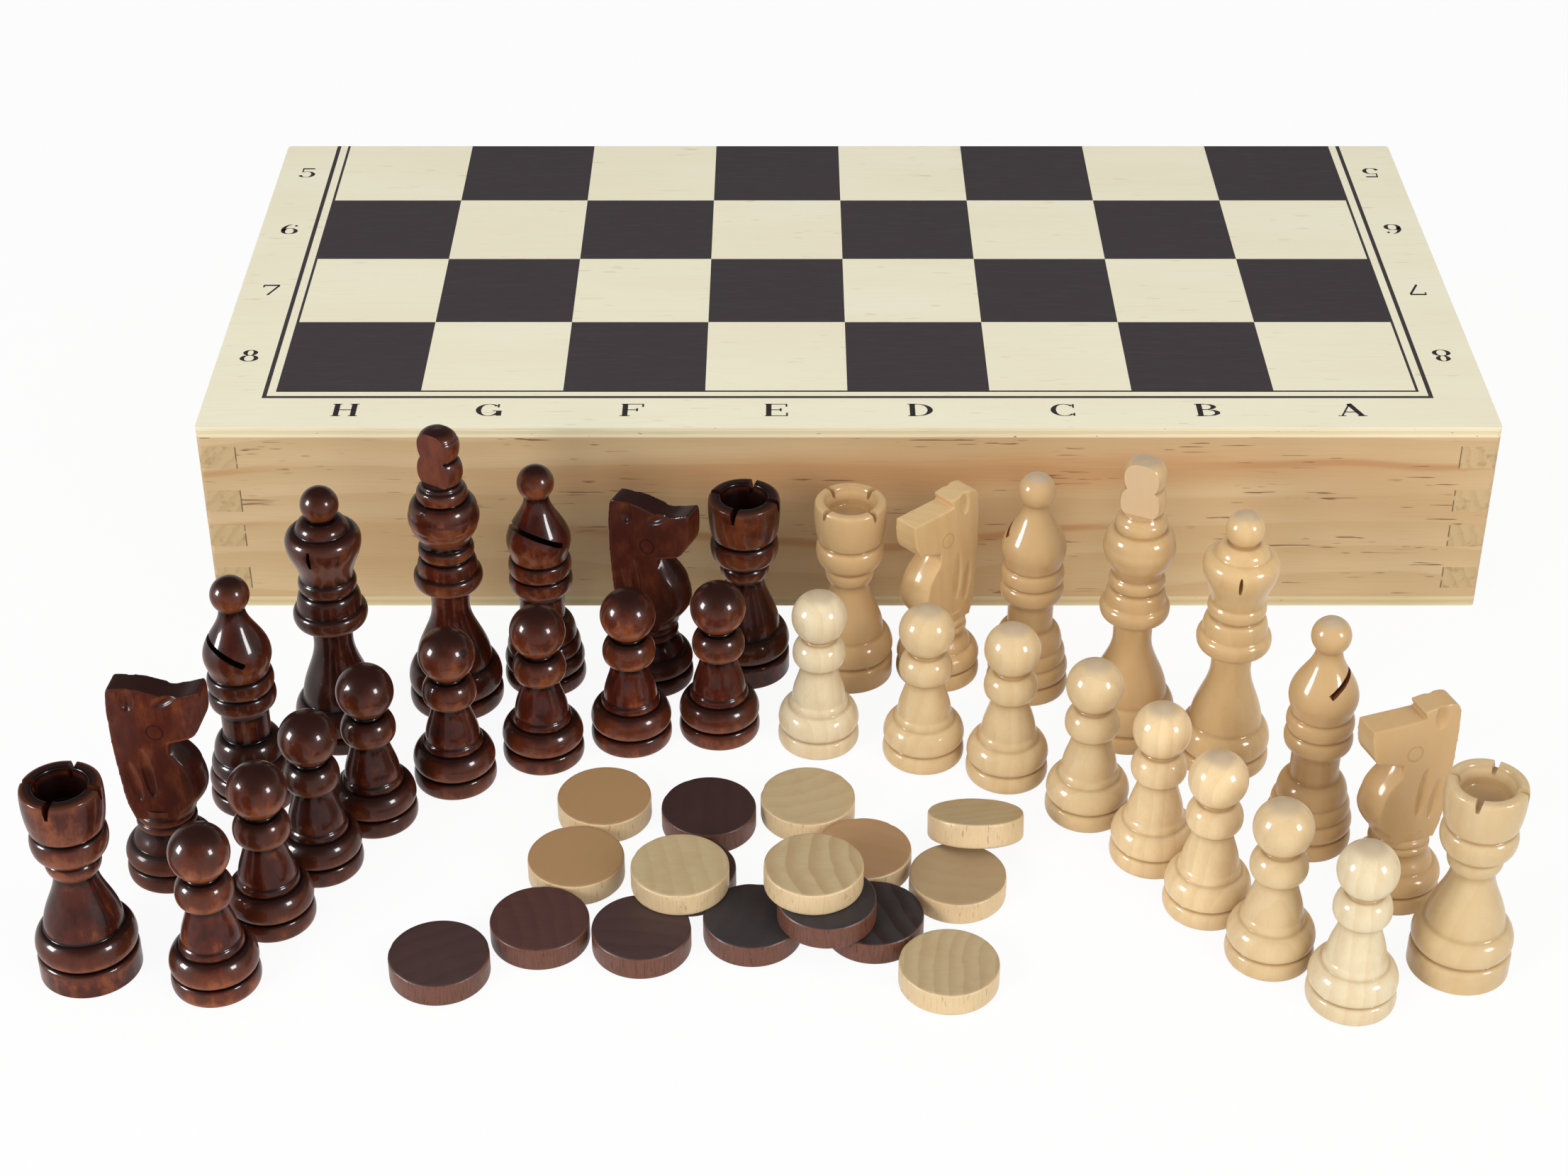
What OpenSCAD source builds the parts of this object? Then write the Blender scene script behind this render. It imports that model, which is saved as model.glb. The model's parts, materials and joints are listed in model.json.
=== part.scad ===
// Folding games box for chess and draughts, shut, with its men and discs set out before it.
// Millimetres. Origin: middle of the box's foot. +X right, +Y towards the hinges, +Z up.
// The two halves were glued up as one box and sawn apart, so their rims meet all round.

/* [Box] */
// Width of the box, along its hinged side
box_w = 340; // [330:1:380]
// Height of each half, panel and wall together
half_h = 28; // [26:0.5:40]
// Thickness of the solid wood walls
wall_t = 10; // [9:0.5:14]
// Thickness of the printed plywood panels
panel_t = 3; // [2:0.5:5]
// Rounding of the box's four upright corners
corner_r = 1.2; // [0.5:0.1:3]

/* [Finger joints] */
// Height of one finger of a corner joint
finger_h = 6.7; // [5:0.1:8]
// Step from one finger to the next
finger_pitch = 13.4; // [12:0.1:16]
// Wood between the panel and the first finger
finger_start = 2.8; // [2:0.1:4]

/* [Hinges] */
// Distance of each hinge from the box's middle
hinge_x = 105; // [60:1:130]
// Length of a hinge
hinge_len = 30; // [24:1:40]
// Width of a leaf, from the rear face inwards
leaf_w = 8; // [7:0.5:9]
// Thickness of a leaf
leaf_t = 0.9; // [0.7:0.1:1.2]
// Outer diameter of the barrel
barrel_d = 3.6; // [3.2:0.1:4.4]
// Diameter of the hinge pin
pin_d = 1.6; // [1.2:0.1:2]
// How far the hinge axis stands behind the rear face
axis_out = 0.3; // [0.2:0.1:0.5]
// Diameter of a screw's shank
screw_d = 1.8; // [1.4:0.1:2.2]
// Diameter of a screw's countersunk head
screw_head_d = 3.4; // [3:0.1:4]
// Length of a screw
screw_len = 8; // [6:0.5:12]

/* [Magnets] */
// Diameter of the closing magnets let into the front rims
magnet_d = 6; // [4:0.5:7]
// Thickness of a magnet
magnet_t = 3; // [2:0.5:5]
// Distance of each magnet from the box's middle
magnet_x = 110; // [60:1:140]

/* [Pawn] */
// Height of a pawn
pawn_h = 44; // [40:0.5:50]
// Diameter of a pawn's foot
pawn_base_d = 20.4; // [18:0.2:24]
// Diameter of a pawn's neck
pawn_neck_d = 9.6; // [8:0.2:11]
// Diameter of a pawn's ball
pawn_ball_d = 13.8; // [12:0.2:16]

/* [Rook] */
// Height of a rook
rook_h = 52; // [48:0.5:60]
// Diameter of a rook's foot
rook_base_d = 23; // [20:0.2:26]
// Diameter of a rook's neck
rook_neck_d = 9.8; // [8:0.2:11]
// Diameter of a rook's turret at its rim
rook_rim_d = 17.4; // [16:0.2:20]
// Thickness of the turret's wall at its rim
rook_wall_t = 1.7; // [1.4:0.1:3]
// Depth of the turret's hollow
rook_hollow = 7.5; // [5:0.5:10]

/* [Knight] */
// Height of a knight
knight_h = 54; // [50:0.5:60]
// Diameter of a knight's foot
knight_base_d = 21.5; // [20:0.2:25]
// Thickness of the head at the ears
knight_head_t = 6.4; // [5:0.2:8]
// Thickness of the neck at the collar
knight_neck_t = 11.4; // [9:0.2:13]

/* [Bishop] */
// Height of a bishop
bishop_h = 64; // [60:0.5:72]
// Diameter of a bishop's foot
bishop_base_d = 21; // [20:0.2:25]
// Diameter of a bishop's stem
bishop_neck_d = 11.6; // [10:0.2:13]
// Diameter of the mitre
bishop_mitre_d = 16.4; // [15:0.2:19]
// Diameter of the ball on the mitre
bishop_ball_d = 9.4; // [8:0.2:11]

/* [Queen] */
// Height of the queen
queen_h = 72.5; // [68:0.5:82]
// Diameter of the queen's foot
queen_base_d = 22.8; // [21:0.2:26]
// Diameter of the queen's stem
queen_neck_d = 9.8; // [8:0.2:12]
// Diameter of the queen's collar
queen_collar_d = 18.4; // [16:0.2:20]
// Diameter of the queen's coronet
queen_crown_d = 18.6; // [17:0.2:21]
// Diameter of the ball on the coronet
queen_ball_d = 9.4; // [8:0.2:11]

/* [King] */
// Height of the king
king_h = 80; // [74:0.5:90]
// Diameter of the king's foot
king_base_d = 24; // [22:0.2:27]
// Diameter of the king's stem
king_neck_d = 9.6; // [8:0.2:12]
// Diameter of the king's collar
king_collar_d = 17.4; // [16:0.2:20]
// Diameter of the king's cup
king_cup_d = 17.4; // [16:0.2:20]
// Diameter of the turned finial, before its two flats are sawn
king_finial_d = 11.4; // [10:0.2:13]
// Thickness of the finial between its flats
king_flat_t = 6.6; // [5:0.2:8]

/* [Saw cuts] */
// Width of the saw cuts in rooks, bishops and queens
saw_w = 1.2; // [0.8:0.1:1.6]
// Depth of the four cuts in a rook's rim
rook_cut = 5; // [3:0.5:6]
// Slope of a bishop's cut
bishop_cut_deg = 24; // [15:1:40]

/* [Discs] */
// Diameter of a draughts disc
disc_d = 23; // [20:0.5:26]
// Thickness of a draughts disc
disc_t = 6; // [5:0.5:8]
// Slope of the disc that leans on another
lean_deg = 22; // [18:1:24]

/* [Clearances] */
// Gap round a pin, screw or magnet in its hole, on the radius
fit_gap = 0.04; // [0.02:0.01:0.08]
// Gap between hinge knuckles, and round a leaf in its recess
hinge_gap = 0.15; // [0.1:0.05:0.3]
// Gap between the barrel and its notch in the rear walls
notch_gap = 0.3; // [0.2:0.05:0.5]
// Least gap that the leaning disc keeps from what it leans on
lean_gap = 0.2; // [0.1:0.05:0.4]

/* [Hidden] */
$fn = 96;
eps = 0.5;                   // how far a cutter runs past the face it opens
box_d = box_w / 2;           // the open board is square
wall_h = half_h - panel_t;
front_y = -box_d / 2;
rear_y = box_d / 2;
axis_y = rear_y + axis_out;
knuckle_w = (hinge_len - 2 * hinge_gap) / 3;
barrel_r = barrel_d / 2;
head_h = (screw_head_d - screw_d) / 2;   // a right-angled countersink
slot_w = screw_head_d / 8;
finger_count = floor((wall_h - finger_start - finger_h) / finger_pitch) + 1;

pine = "#d2b07e";
birch = "#e9e2c6";
brass = "#c8a557";
steel = "#c4c6ca";
dark_wood = "#4a2418";
light_wood = "#dfc390";

SIDES = ["dark", "light"];
// The men of one side: the back row from its inner end outwards, then the pawns the same way
ROW = ["rook_2", "knight_2", "bishop_2", "king", "queen", "bishop_1", "knight_1", "rook_1"];
PAWNS = ["pawn_8", "pawn_7", "pawn_6", "pawn_5", "pawn_4", "pawn_3", "pawn_2", "pawn_1"];
MEN = concat(ROW, PAWNS);
ROW_BASES = [rook_base_d, knight_base_d, bishop_base_d, king_base_d,
             queen_base_d, bishop_base_d, knight_base_d, rook_base_d];
PAWN_BASES = [for (p = PAWNS) pawn_base_d];

// A row is walked outwards from man to man. Each step is [gap between two feet, bearing], and a
// bearing is 0 to the right and 90 away from the box. The first step comes from another row's first man.
LIGHT_ROW = [[1, 2], [2.5, 15], [8, 39], [2.5, 27], [14, 63], [4.5, 48], [6, 68]];
DARK_ROW = [[4, 184], [2.5, 168], [6.5, 180], [1.5, 158], [8, 152], [10, 125], [10.5, 118], [15, 110]];
LIGHT_PAWNS = [[9.5, 105], [6.5, 13], [1.5, 21], [3.5, 39], [2, 51], [1, 60], [1, 55], [1.5, 42]];
DARK_PAWNS = [[5, 189], [2, 172], [2.5, 162], [3, 155], [3, 140], [1, 121], [1, 114], [3.5, 113]];
// The light side's inner rook: its place along X, and how far its foot stands before the box
FIRST_X = 0;
FIRST_GAP = 17.5;
// How far the men of the back row are turned about their axes
LIGHT_TURNS = [5, 222, 110, -25, -8, 25, 200, 14];
DARK_TURNS = [20, -24, 225, -32, -15, 195, -6, 0];

// The discs: node name, side, places (X, distance before the front) and the layer they lie in.
// The places are set out for discs 23 wide, and spread from the middle of the heap for wider ones.
// The last disc leans: it has a layer below 0, and its place is worked out from the disc it rests on.
disc_spread = disc_d / 23;
DISC_MIDDLE = [-30, 120];
PROP = [24, 120];
DISCS = [
    ["dark_disc_single", "dark", [[-35, 94.5]], 0],
    ["dark_disc_pair", "dark", [[-95, 148], [-73, 136]], 0],
    ["dark_disc_heap", "dark", [[-39.5, 117.5], [-49.5, 139], [-24, 135], [4, 134]], 0],
    ["dark_disc_stacked", "dark", [[-7, 135.5]], 1],
    ["light_disc_pair_left", "light", [[-60.5, 90.5], [-66, 113.5]], 0],
    ["light_disc_pair_back", "light", [[-11, 90.5], [2, 110.5]], 0],
    ["light_disc_front", "light", [[20.5, 151]], 0],
    ["light_disc_prop", "light", [PROP], 0],
    ["light_disc_stacked", "light", [[-41, 124]], 1],
    ["light_disc_top", "light", [[-10, 131]], 2],
    ["light_disc_leaning", "light", [[PROP[0] + 5, PROP[1]]], -1],
];

BOX = ["lower_front_wall", "lower_back_wall", "lower_left_wall", "lower_right_wall", "lower_board",
       "upper_front_wall", "upper_back_wall", "upper_left_wall", "upper_right_wall", "upper_board",
       "hinge_lower_leaves", "hinge_upper_leaves", "hinge_pins",
       "lower_hinge_screws", "upper_hinge_screws", "lower_magnets", "upper_magnets"];

// ---- The box ----

// Turns a lower piece into the matching upper one
module upper() translate([0, 0, 2 * half_h]) mirror([0, 0, 1]) children();

module at_hinges() for (side = [-1, 1]) translate([side * hinge_x, 0, 0]) children();

module footprint() {
    square([box_w - 2 * corner_r, box_d], center = true);
    square([box_w, box_d - 2 * corner_r], center = true);
    for (x = [-1, 1], y = [-1, 1])
        translate([x * (box_w / 2 - corner_r), y * (box_d / 2 - corner_r)]) circle(corner_r);
}

module within_footprint() intersection() {
    linear_extrude(half_h) footprint();
    children();
}

module board_panel() color(birch) linear_extrude(panel_t) footprint();

// The fingers of one end wall's two joints: blocks of side wall that fill the corners
module fingers(x, y) {
    for (i = [0 : finger_count - 1])
        translate([x * (box_w - wall_t) / 2 - wall_t / 2, y * (box_d - wall_t) / 2 - wall_t / 2,
                   panel_t + finger_start + i * finger_pitch])
            cube([wall_t, wall_t, finger_h]);
}

module side_wall(x) color(pine) within_footprint() {
    translate([x * (box_w - wall_t) / 2 - wall_t / 2, front_y + wall_t, panel_t])
        cube([wall_t, box_d - 2 * wall_t, wall_h]);
    for (y = [-1, 1]) fingers(x, y);
}

module long_wall(y) within_footprint() difference() {
    translate([-box_w / 2, y * (box_d - wall_t) / 2 - wall_t / 2, panel_t])
        cube([box_w, wall_t, wall_h]);
    for (x = [-1, 1]) fingers(x, y);
}

module magnet_places() for (side = [-1, 1])
    translate([side * magnet_x, front_y + wall_t / 2, half_h]) children();

module magnets() color(steel) magnet_places() translate([0, 0, -magnet_t]) cylinder(magnet_t, d = magnet_d);

module front_wall() color(pine) difference() {
    long_wall(-1);
    magnet_places() translate([0, 0, -magnet_t - fit_gap])
        cylinder(magnet_t + fit_gap + eps, r = magnet_d / 2 + fit_gap);
}

module back_wall() color(pine) difference() {
    long_wall(1);
    at_hinges() {
        translate([-hinge_len / 2 - hinge_gap, rear_y - leaf_w - hinge_gap, half_h - leaf_t])
            cube([hinge_len + 2 * hinge_gap, leaf_w + hinge_gap + eps, leaf_t + eps]);
        barrel(hinge_len + 2 * notch_gap, barrel_r + notch_gap);
        screw_places() translate([0, 0, -screw_len - fit_gap])
            cylinder(screw_len, r = screw_d / 2 + fit_gap);
    }
}

// ---- The hinges ----

module barrel(len, r, x = 0) translate([x - len / 2, axis_y, half_h]) rotate([0, 90, 0]) cylinder(len, r = r);

module screw_places() for (x = [-1, 1])
    translate([x * hinge_len / 3, rear_y - leaf_w * 0.55, half_h]) children();

module leaf_plate() translate([-hinge_len / 2, rear_y - leaf_w, half_h - leaf_t])
    cube([hinge_len, leaf_w + axis_out, leaf_t]);

// Room in a leaf for a knuckle of the other leaf
module knuckle_room(x) translate([x - knuckle_w / 2 - hinge_gap, axis_y - barrel_r - hinge_gap, half_h - barrel_d])
    cube([knuckle_w + 2 * hinge_gap, barrel_d + hinge_gap, 2 * barrel_d]);

module leaf_holes() {
    barrel(hinge_len + 2 * eps, pin_d / 2 + fit_gap);
    screw_places() {
        translate([0, 0, -head_h]) cylinder(head_h, r1 = screw_d / 2 + fit_gap, r2 = screw_head_d / 2 + fit_gap);
        translate([0, 0, -leaf_t - eps]) cylinder(leaf_t + eps, r = screw_d / 2 + fit_gap);
    }
}

module lower_leaf() difference() {
    union() {
        difference() {
            leaf_plate();
            knuckle_room(0);
        }
        for (x = [-1, 1]) barrel(knuckle_w, barrel_r, x * (knuckle_w + hinge_gap));
    }
    leaf_holes();
}

module upper_leaf() upper() difference() {
    union() {
        difference() {
            leaf_plate();
            for (x = [-1, 1]) knuckle_room(x * (knuckle_w + hinge_gap));
        }
        barrel(knuckle_w, barrel_r);
    }
    leaf_holes();
}

// A slotted countersunk wood screw, its head's face at z = 0
module screw() difference() {
    union() {
        translate([0, 0, -head_h]) cylinder(head_h, r1 = screw_d / 2, r2 = screw_head_d / 2);
        translate([0, 0, -screw_len * 0.75]) cylinder(screw_len * 0.75 - head_h / 2, d = screw_d);
        translate([0, 0, -screw_len]) cylinder(screw_len / 4, d1 = screw_d / 4, d2 = screw_d);
    }
    translate([-screw_head_d, -slot_w / 2, -head_h / 2]) cube([2 * screw_head_d, slot_w, head_h]);
}

module hinge_screws() color(brass) at_hinges() screw_places() screw();

// ---- Turning ----
// A turned shape is a list of elements from its foot up, each [kind, height, r below, r above, swell]:
// "line" is straight, "bead" swells outwards, "flare" is a slow S, "round" is a shoulder that turns in,
// and ["ball", r of its neck, r] is a ball on a neck.

turn_steps = 10;

function ball_h(neck_r, r) = r + sqrt(r * r - neck_r * neck_r);
function height_of(e) = e[0] == "ball" ? ball_h(e[1], e[2]) : e[1];
function tall(list, i = 0) = i >= len(list) ? 0 : height_of(list[i]) + tall(list, i + 1);

function element_points(e) =
    e[0] == "line" ? [[e[2], 0], [e[3], e[1]]] :
    e[0] == "ball" ? let (low = -acos(e[1] / e[2]), mid = sqrt(e[2] * e[2] - e[1] * e[1]))
        [for (i = [0 : 2 * turn_steps]) let (a = low + (90 - low) * i / (2 * turn_steps))
            [e[2] * cos(a), mid + e[2] * sin(a)]] :
    [for (i = [0 : turn_steps]) let (
        t = i / turn_steps,
        ease = (1 - cos(180 * t)) / 2)
        e[0] == "bead" ? [e[2] + (e[3] - e[2]) * ease + e[4] * sin(180 * t), e[1] * ease] :
        e[0] == "flare" ? [e[2] + (e[3] - e[2]) * ease, e[1] * t] :
        [e[3] + (e[2] - e[3]) * cos(90 * t), e[1] * sin(90 * t)]];

function turned_points(list, z = 0, i = 0) = i >= len(list) ? [] :
    concat([for (p = element_points(list[i])) [max(p[0], 0), p[1] + z]],
           turned_points(list, z + height_of(list[i]), i + 1));

module turned(list) rotate_extrude()
    polygon(concat([[0, 0]], turned_points(list), [[0, tall(list)]]));

// A foot's rounded plinth, its groove and the big ring above it
function foot(r, plinth_h, ring_h, ring_in) = [
    ["bead", plinth_h, r - 0.6, r - 0.8, 0.7],
    ["line", 0.4, r - 1.4, r - 1.4],
    ["bead", ring_h, r - 1.2, r - ring_in, ring_in / 2 + 0.4],
];

// The body between foot and head takes up whatever height the rest leaves
function with_body(low, high, r_low, r_high, h) =
    concat(low, [["flare", h - tall(low) - tall(high), r_low, r_high]], high);

pawn_r = pawn_base_d / 2;
pawn_neck_r = pawn_neck_d / 2;
pawn = with_body(
    concat(foot(pawn_r, 4.5, 6.2, 2.6), [["bead", 2.2, pawn_r - 2.7, pawn_r - 3.1, 0.45]]),
    [["bead", 7.3, pawn_neck_r, pawn_neck_r - 0.8, 2.2],
     ["line", 0.5, pawn_neck_r - 1, pawn_neck_r - 1.2],
     ["ball", pawn_neck_r - 1.2, pawn_ball_d / 2]],
    pawn_r - 3.2, pawn_neck_r, pawn_h);

rook_r = rook_base_d / 2;
rook_neck_r = rook_neck_d / 2;
rook_rim_r = rook_rim_d / 2;
rook = with_body(
    [["line", 5, rook_r, rook_r], ["round", 1.2, rook_r, rook_r - 1],
     ["line", 0.4, rook_r - 1.4, rook_r - 1.4], ["bead", 6.4, rook_r - 1.2, rook_r - 2.4, 1.7]],
    [["bead", 4.2, rook_neck_r, rook_neck_r + 0.9, 0.9],
     ["line", 1.2, rook_neck_r + 1, rook_rim_r - 1.8],
     ["bead", 6.6, rook_rim_r - 1.8, rook_rim_r - 1.2, 1.5],
     ["line", 0.4, rook_rim_r - 1.3, rook_rim_r - 1.3],
     ["bead", 11.4, rook_rim_r - 0.8, rook_rim_r, 0.8]],
    rook_r - 2.5, rook_neck_r, rook_h);

knight_r = knight_base_d / 2;
knight_foot = concat(foot(knight_r, 4.4, 5, 2.4), [
    ["flare", 4.6, knight_r - 2.4, knight_r - 4.2],
    ["bead", 2.2, knight_r - 4.4, knight_r - 4.4, 0.8],
    ["bead", 2, knight_r - 4.4, knight_r - 4.6, 0.6]]);
knight_foot_h = tall(knight_foot);

bishop_r = bishop_base_d / 2;
bishop_neck_r = bishop_neck_d / 2;
mitre_r = bishop_mitre_d / 2;
bishop_ball_r = bishop_ball_d / 2;
mitre_foot = [
    ["line", 1.6, bishop_neck_r + 0.1, mitre_r - 1],
    ["bead", 4.6, mitre_r - 1, mitre_r - 0.9, 0.9],
    ["line", 0.3, mitre_r - 1.1, mitre_r - 1.1],
    ["bead", 4.4, mitre_r - 0.9, mitre_r - 1, 0.8],
    ["line", 0.4, mitre_r - 1.3, mitre_r - 1.3],
    ["flare", 4.6, mitre_r - 0.9, mitre_r]];
bishop_foot = concat(foot(bishop_r, 4.3, 4.8, 1.6), [
    ["bead", 4.2, bishop_r - 1.6, bishop_r - 2.4, 0.9],
    ["round", 5.4, bishop_r - 2, bishop_neck_r + 0.2],
    ["line", 7.5, bishop_neck_r, bishop_neck_r]]);
bishop = with_body(concat(bishop_foot, mitre_foot), [["ball", 3, bishop_ball_r]], mitre_r, 3.1, bishop_h);
mitre_z = tall(bishop_foot) + tall(mitre_foot);

queen_r = queen_base_d / 2;
queen_neck_r = queen_neck_d / 2;
collar_r = queen_collar_d / 2;
crown_r = queen_crown_d / 2;
queen = with_body(foot(queen_r, 4.4, 7, 2.4), [
    ["line", 4.7, queen_neck_r, queen_neck_r + 0.1],
    ["line", 0.9, queen_neck_r + 0.1, collar_r - 1.8],
    ["bead", 4.8, collar_r - 1.5, collar_r - 1.2, 1.35],
    ["round", 4.8, collar_r - 1.2, collar_r - 2.7],
    ["line", 0.3, collar_r - 2.9, collar_r - 2.9],
    ["bead", 3.6, collar_r - 2.8, collar_r - 2.8, 0.8],
    ["flare", 10.4, collar_r - 2.7, crown_r],
    ["round", 3, crown_r, crown_r - 2.5],
    ["round", 3.2, crown_r - 2.8, 3.2],
    ["ball", 2.9, queen_ball_d / 2]],
    queen_r - 2.5, queen_neck_r, queen_h);

king_r = king_base_d / 2;
king_neck_r = king_neck_d / 2;
king_collar_r = king_collar_d / 2;
cup_r = king_cup_d / 2;
finial_r = king_finial_d / 2;
finial = [
    ["bead", 6.8, finial_r - 1.3, finial_r - 1.3, 1.3],
    ["bead", 3, finial_r - 1.4, finial_r - 0.5, 0.3],
    ["round", 4.8, finial_r - 0.5, 0]];
king = with_body(foot(king_r, 4.6, 7.4, 2.5), concat([
    ["line", 5.4, king_neck_r, king_neck_r + 0.1],
    ["line", 0.9, king_neck_r + 0.1, king_collar_r - 1.6],
    ["bead", 4.6, king_collar_r - 1.4, king_collar_r - 1.1, 1.25],
    ["round", 4, king_collar_r - 1.1, king_collar_r - 2.4],
    ["line", 0.4, king_collar_r - 2.6, king_collar_r - 2.6],
    ["bead", 3.4, king_collar_r - 2.5, king_collar_r - 2.5, 0.8],
    ["flare", 8.8, king_collar_r - 2.5, cup_r],
    ["round", 4.4, cup_r, cup_r - 2.4],
    ["bead", 3.4, cup_r - 2.9, cup_r - 3.4, 0.8],
    ["round", 1.2, cup_r - 3.5, finial_r - 1.3]], finial),
    king_r - 2.4, king_neck_r, king_h);

// ---- The men ----

module rook_man() difference() {
    turned(rook);
    translate([0, 0, rook_h - rook_hollow])
        cylinder(rook_hollow + eps, r1 = rook_rim_r - rook_wall_t - 1.5, r2 = rook_rim_r - rook_wall_t);
    for (a = [0, 90]) rotate(a)
        translate([-rook_base_d / 2, -saw_w / 2, rook_h - rook_cut]) cube([rook_base_d, saw_w, rook_cut + eps]);
}

module bishop_man() difference() {
    turned(bishop);
    translate([0, 0, mitre_z]) rotate([0, -bishop_cut_deg, 0])
        translate([0, -bishop_mitre_d / 2, saw_w]) cube([bishop_mitre_d, bishop_mitre_d, saw_w]);
}

// A short saw cut stands up the front of the coronet
module queen_man() difference() {
    turned(queen);
    translate([-saw_w / 3, -crown_r - eps, queen_h - 17.6]) cube([saw_w * 2 / 3, 2.6, 4.4]);
}

module king_man() difference() {
    turned(king);
    for (y = [-1, 1]) translate([-finial_r, y * king_flat_t / 2 - (y < 0 ? finial_r : 0), king_h - tall(finial)])
        cube([2 * finial_r, finial_r, tall(finial) + eps]);
}

// A knight's head is sawn from a block on a turned bulb, and looks along +X.
// The outline is [x, height above the collar]; a stepped one has its ears behind a sawn forelock.
neck_back = [[-5.6, 0], [-7.2, 5], [-8, 11], [-8.8, 18], [-9.2, 23]];
throat = [[11.2, 23.5], [4.2, 21.2], [4.6, 14], [6, 4], [5, 0]];
flat_top = [[-9.2, 0.968], [-8.2, 0.995], [-1.5, 1], [3.5, 0.965], [8.2, 0.972], [12.6, 1], [13, 0.8]];
stepped_top = [[-9.4, 0.93], [-8.9, 0.985], [-7.4, 1], [0.2, 0.985], [-0.8, 0.925], [13, 0.92], [12.8, 0.78]];
head_top_h = knight_h - knight_foot_h;

module head_outline(top) polygon(concat(neck_back, [for (p = top) [p[0], p[1] * head_top_h]], throat));

bulb = [["flare", 7.2, 6.2, 9.7], ["bead", 4.2, 9.7, 9, 0.2], ["flare", 11.5, 9, 3.4]];

module knight_man(top) {
    turned(knight_foot);
    translate([0, 0, knight_foot_h]) intersection() {
        union() {
            rotate([90, 0, 0]) linear_extrude(knight_neck_t, center = true) head_outline(top);
            translate([1.2, 0, 0]) turned(bulb);
        }
        rotate([90, 0, 90]) linear_extrude(4 * knight_r, center = true)
            polygon([[-knight_neck_t / 2, 0], [knight_neck_t / 2, 0],
                     [knight_head_t / 2, head_top_h + eps], [-knight_head_t / 2, head_top_h + eps]]);
    }
}

// One step of a row, for feet of the two given diameters
function stepped(from, step, base_a, base_b) =
    from + ((base_a + base_b) / 2 + step[0]) * [cos(step[1]), sin(step[1])];

// The places of the men from the i-th on, with the i-th one standing at here
function walked(here, steps, bases, i = 0) = i == len(steps) ? [here] :
    concat([here], walked(stepped(here, steps[i], bases[i], bases[i + 1]), steps, bases, i + 1));

function rest(list) = [for (i = [1 : len(list) - 1]) list[i]];

light_row = walked([FIRST_X, FIRST_GAP + rook_base_d / 2], LIGHT_ROW, ROW_BASES);
dark_row = walked(stepped(light_row[0], DARK_ROW[0], rook_base_d, rook_base_d), rest(DARK_ROW), ROW_BASES);
light_pawns = walked(stepped(light_row[0], LIGHT_PAWNS[0], rook_base_d, pawn_base_d),
                     rest(LIGHT_PAWNS), PAWN_BASES);
dark_pawns = walked(stepped(light_pawns[0], DARK_PAWNS[0], pawn_base_d, pawn_base_d),
                    rest(DARK_PAWNS), PAWN_BASES);

module man(side, i) {
    spot = side == "dark" ? concat(dark_row, dark_pawns)[i] : concat(light_row, light_pawns)[i];
    turn = i >= len(ROW) ? 0 : side == "dark" ? DARK_TURNS[i] : LIGHT_TURNS[i];
    color(side == "dark" ? dark_wood : light_wood) translate([spot[0], front_y - spot[1], 0]) rotate(turn)
        if (i >= len(ROW)) turned(pawn);
        else if (i == 3) king_man();
        else if (i == 4) queen_man();
        else if (i == 2 || i == 5) bishop_man();
        else if (i == 1 || i == 6) knight_man(side == "dark" ? flat_top : stepped_top);
        else rook_man();
}

// ---- The discs ----

disc_edge = 0.4;             // small chamfer of a disc's edges

module disc() turned([
    ["line", disc_edge, disc_d / 2 - disc_edge, disc_d / 2],
    ["line", disc_t - 2 * disc_edge, disc_d / 2, disc_d / 2],
    ["line", disc_edge, disc_d / 2, disc_d / 2 - disc_edge]]);

// A place spreads out from the middle of the heap as the discs grow
function disc_at(p) = [DISC_MIDDLE[0] + (p[0] - DISC_MIDDLE[0]) * disc_spread,
                       front_y - DISC_MIDDLE[1] - (p[1] - DISC_MIDDLE[1]) * disc_spread];

// The leaning disc's low edge is on the table, and its face lies on the prop's far edge
module leaning(p) {
    prop = disc_at(PROP);
    low_y = prop[1] + disc_d / 2 + disc_t / tan(lean_deg);
    translate([disc_at(p)[0], low_y - disc_d / 2 * cos(lean_deg), disc_d / 2 * sin(lean_deg) + lean_gap])
        rotate([-lean_deg, 0, 0]) disc();
}

module disc_set(d) color(d[1] == "dark" ? dark_wood : light_wood)
    for (p = d[2])
        if (d[3] < 0) leaning(p);
        else translate([disc_at(p)[0], disc_at(p)[1], d[3] * disc_t]) disc();

// ---- The nodes ----

front_wall();  // lower_front_wall
back_wall();  // lower_back_wall
side_wall(-1);  // lower_left_wall
side_wall(1);  // lower_right_wall
board_panel();  // lower_board
upper() front_wall();  // upper_front_wall
upper() back_wall();  // upper_back_wall
upper() side_wall(-1);  // upper_left_wall
upper() side_wall(1);  // upper_right_wall
upper() board_panel();  // upper_board
color(brass) at_hinges() lower_leaf();  // hinge_lower_leaves
color(brass) at_hinges() upper_leaf();  // hinge_upper_leaves
color(steel) at_hinges() barrel(hinge_len, pin_d / 2);  // hinge_pins
hinge_screws();  // lower_hinge_screws
upper() hinge_screws();  // upper_hinge_screws
magnets();  // lower_magnets
upper() magnets();  // upper_magnets
for (side = SIDES, i = [0 : len(MEN) - 1])
    man(side, i);
for (d = DISCS)
    disc_set(d);
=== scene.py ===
# Looks of the folding games box: printed board, pine walls, turned and carved men, sawn discs.
import bpy, json, math, random
import numpy as np
from mathutils import Matrix, Vector


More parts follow.
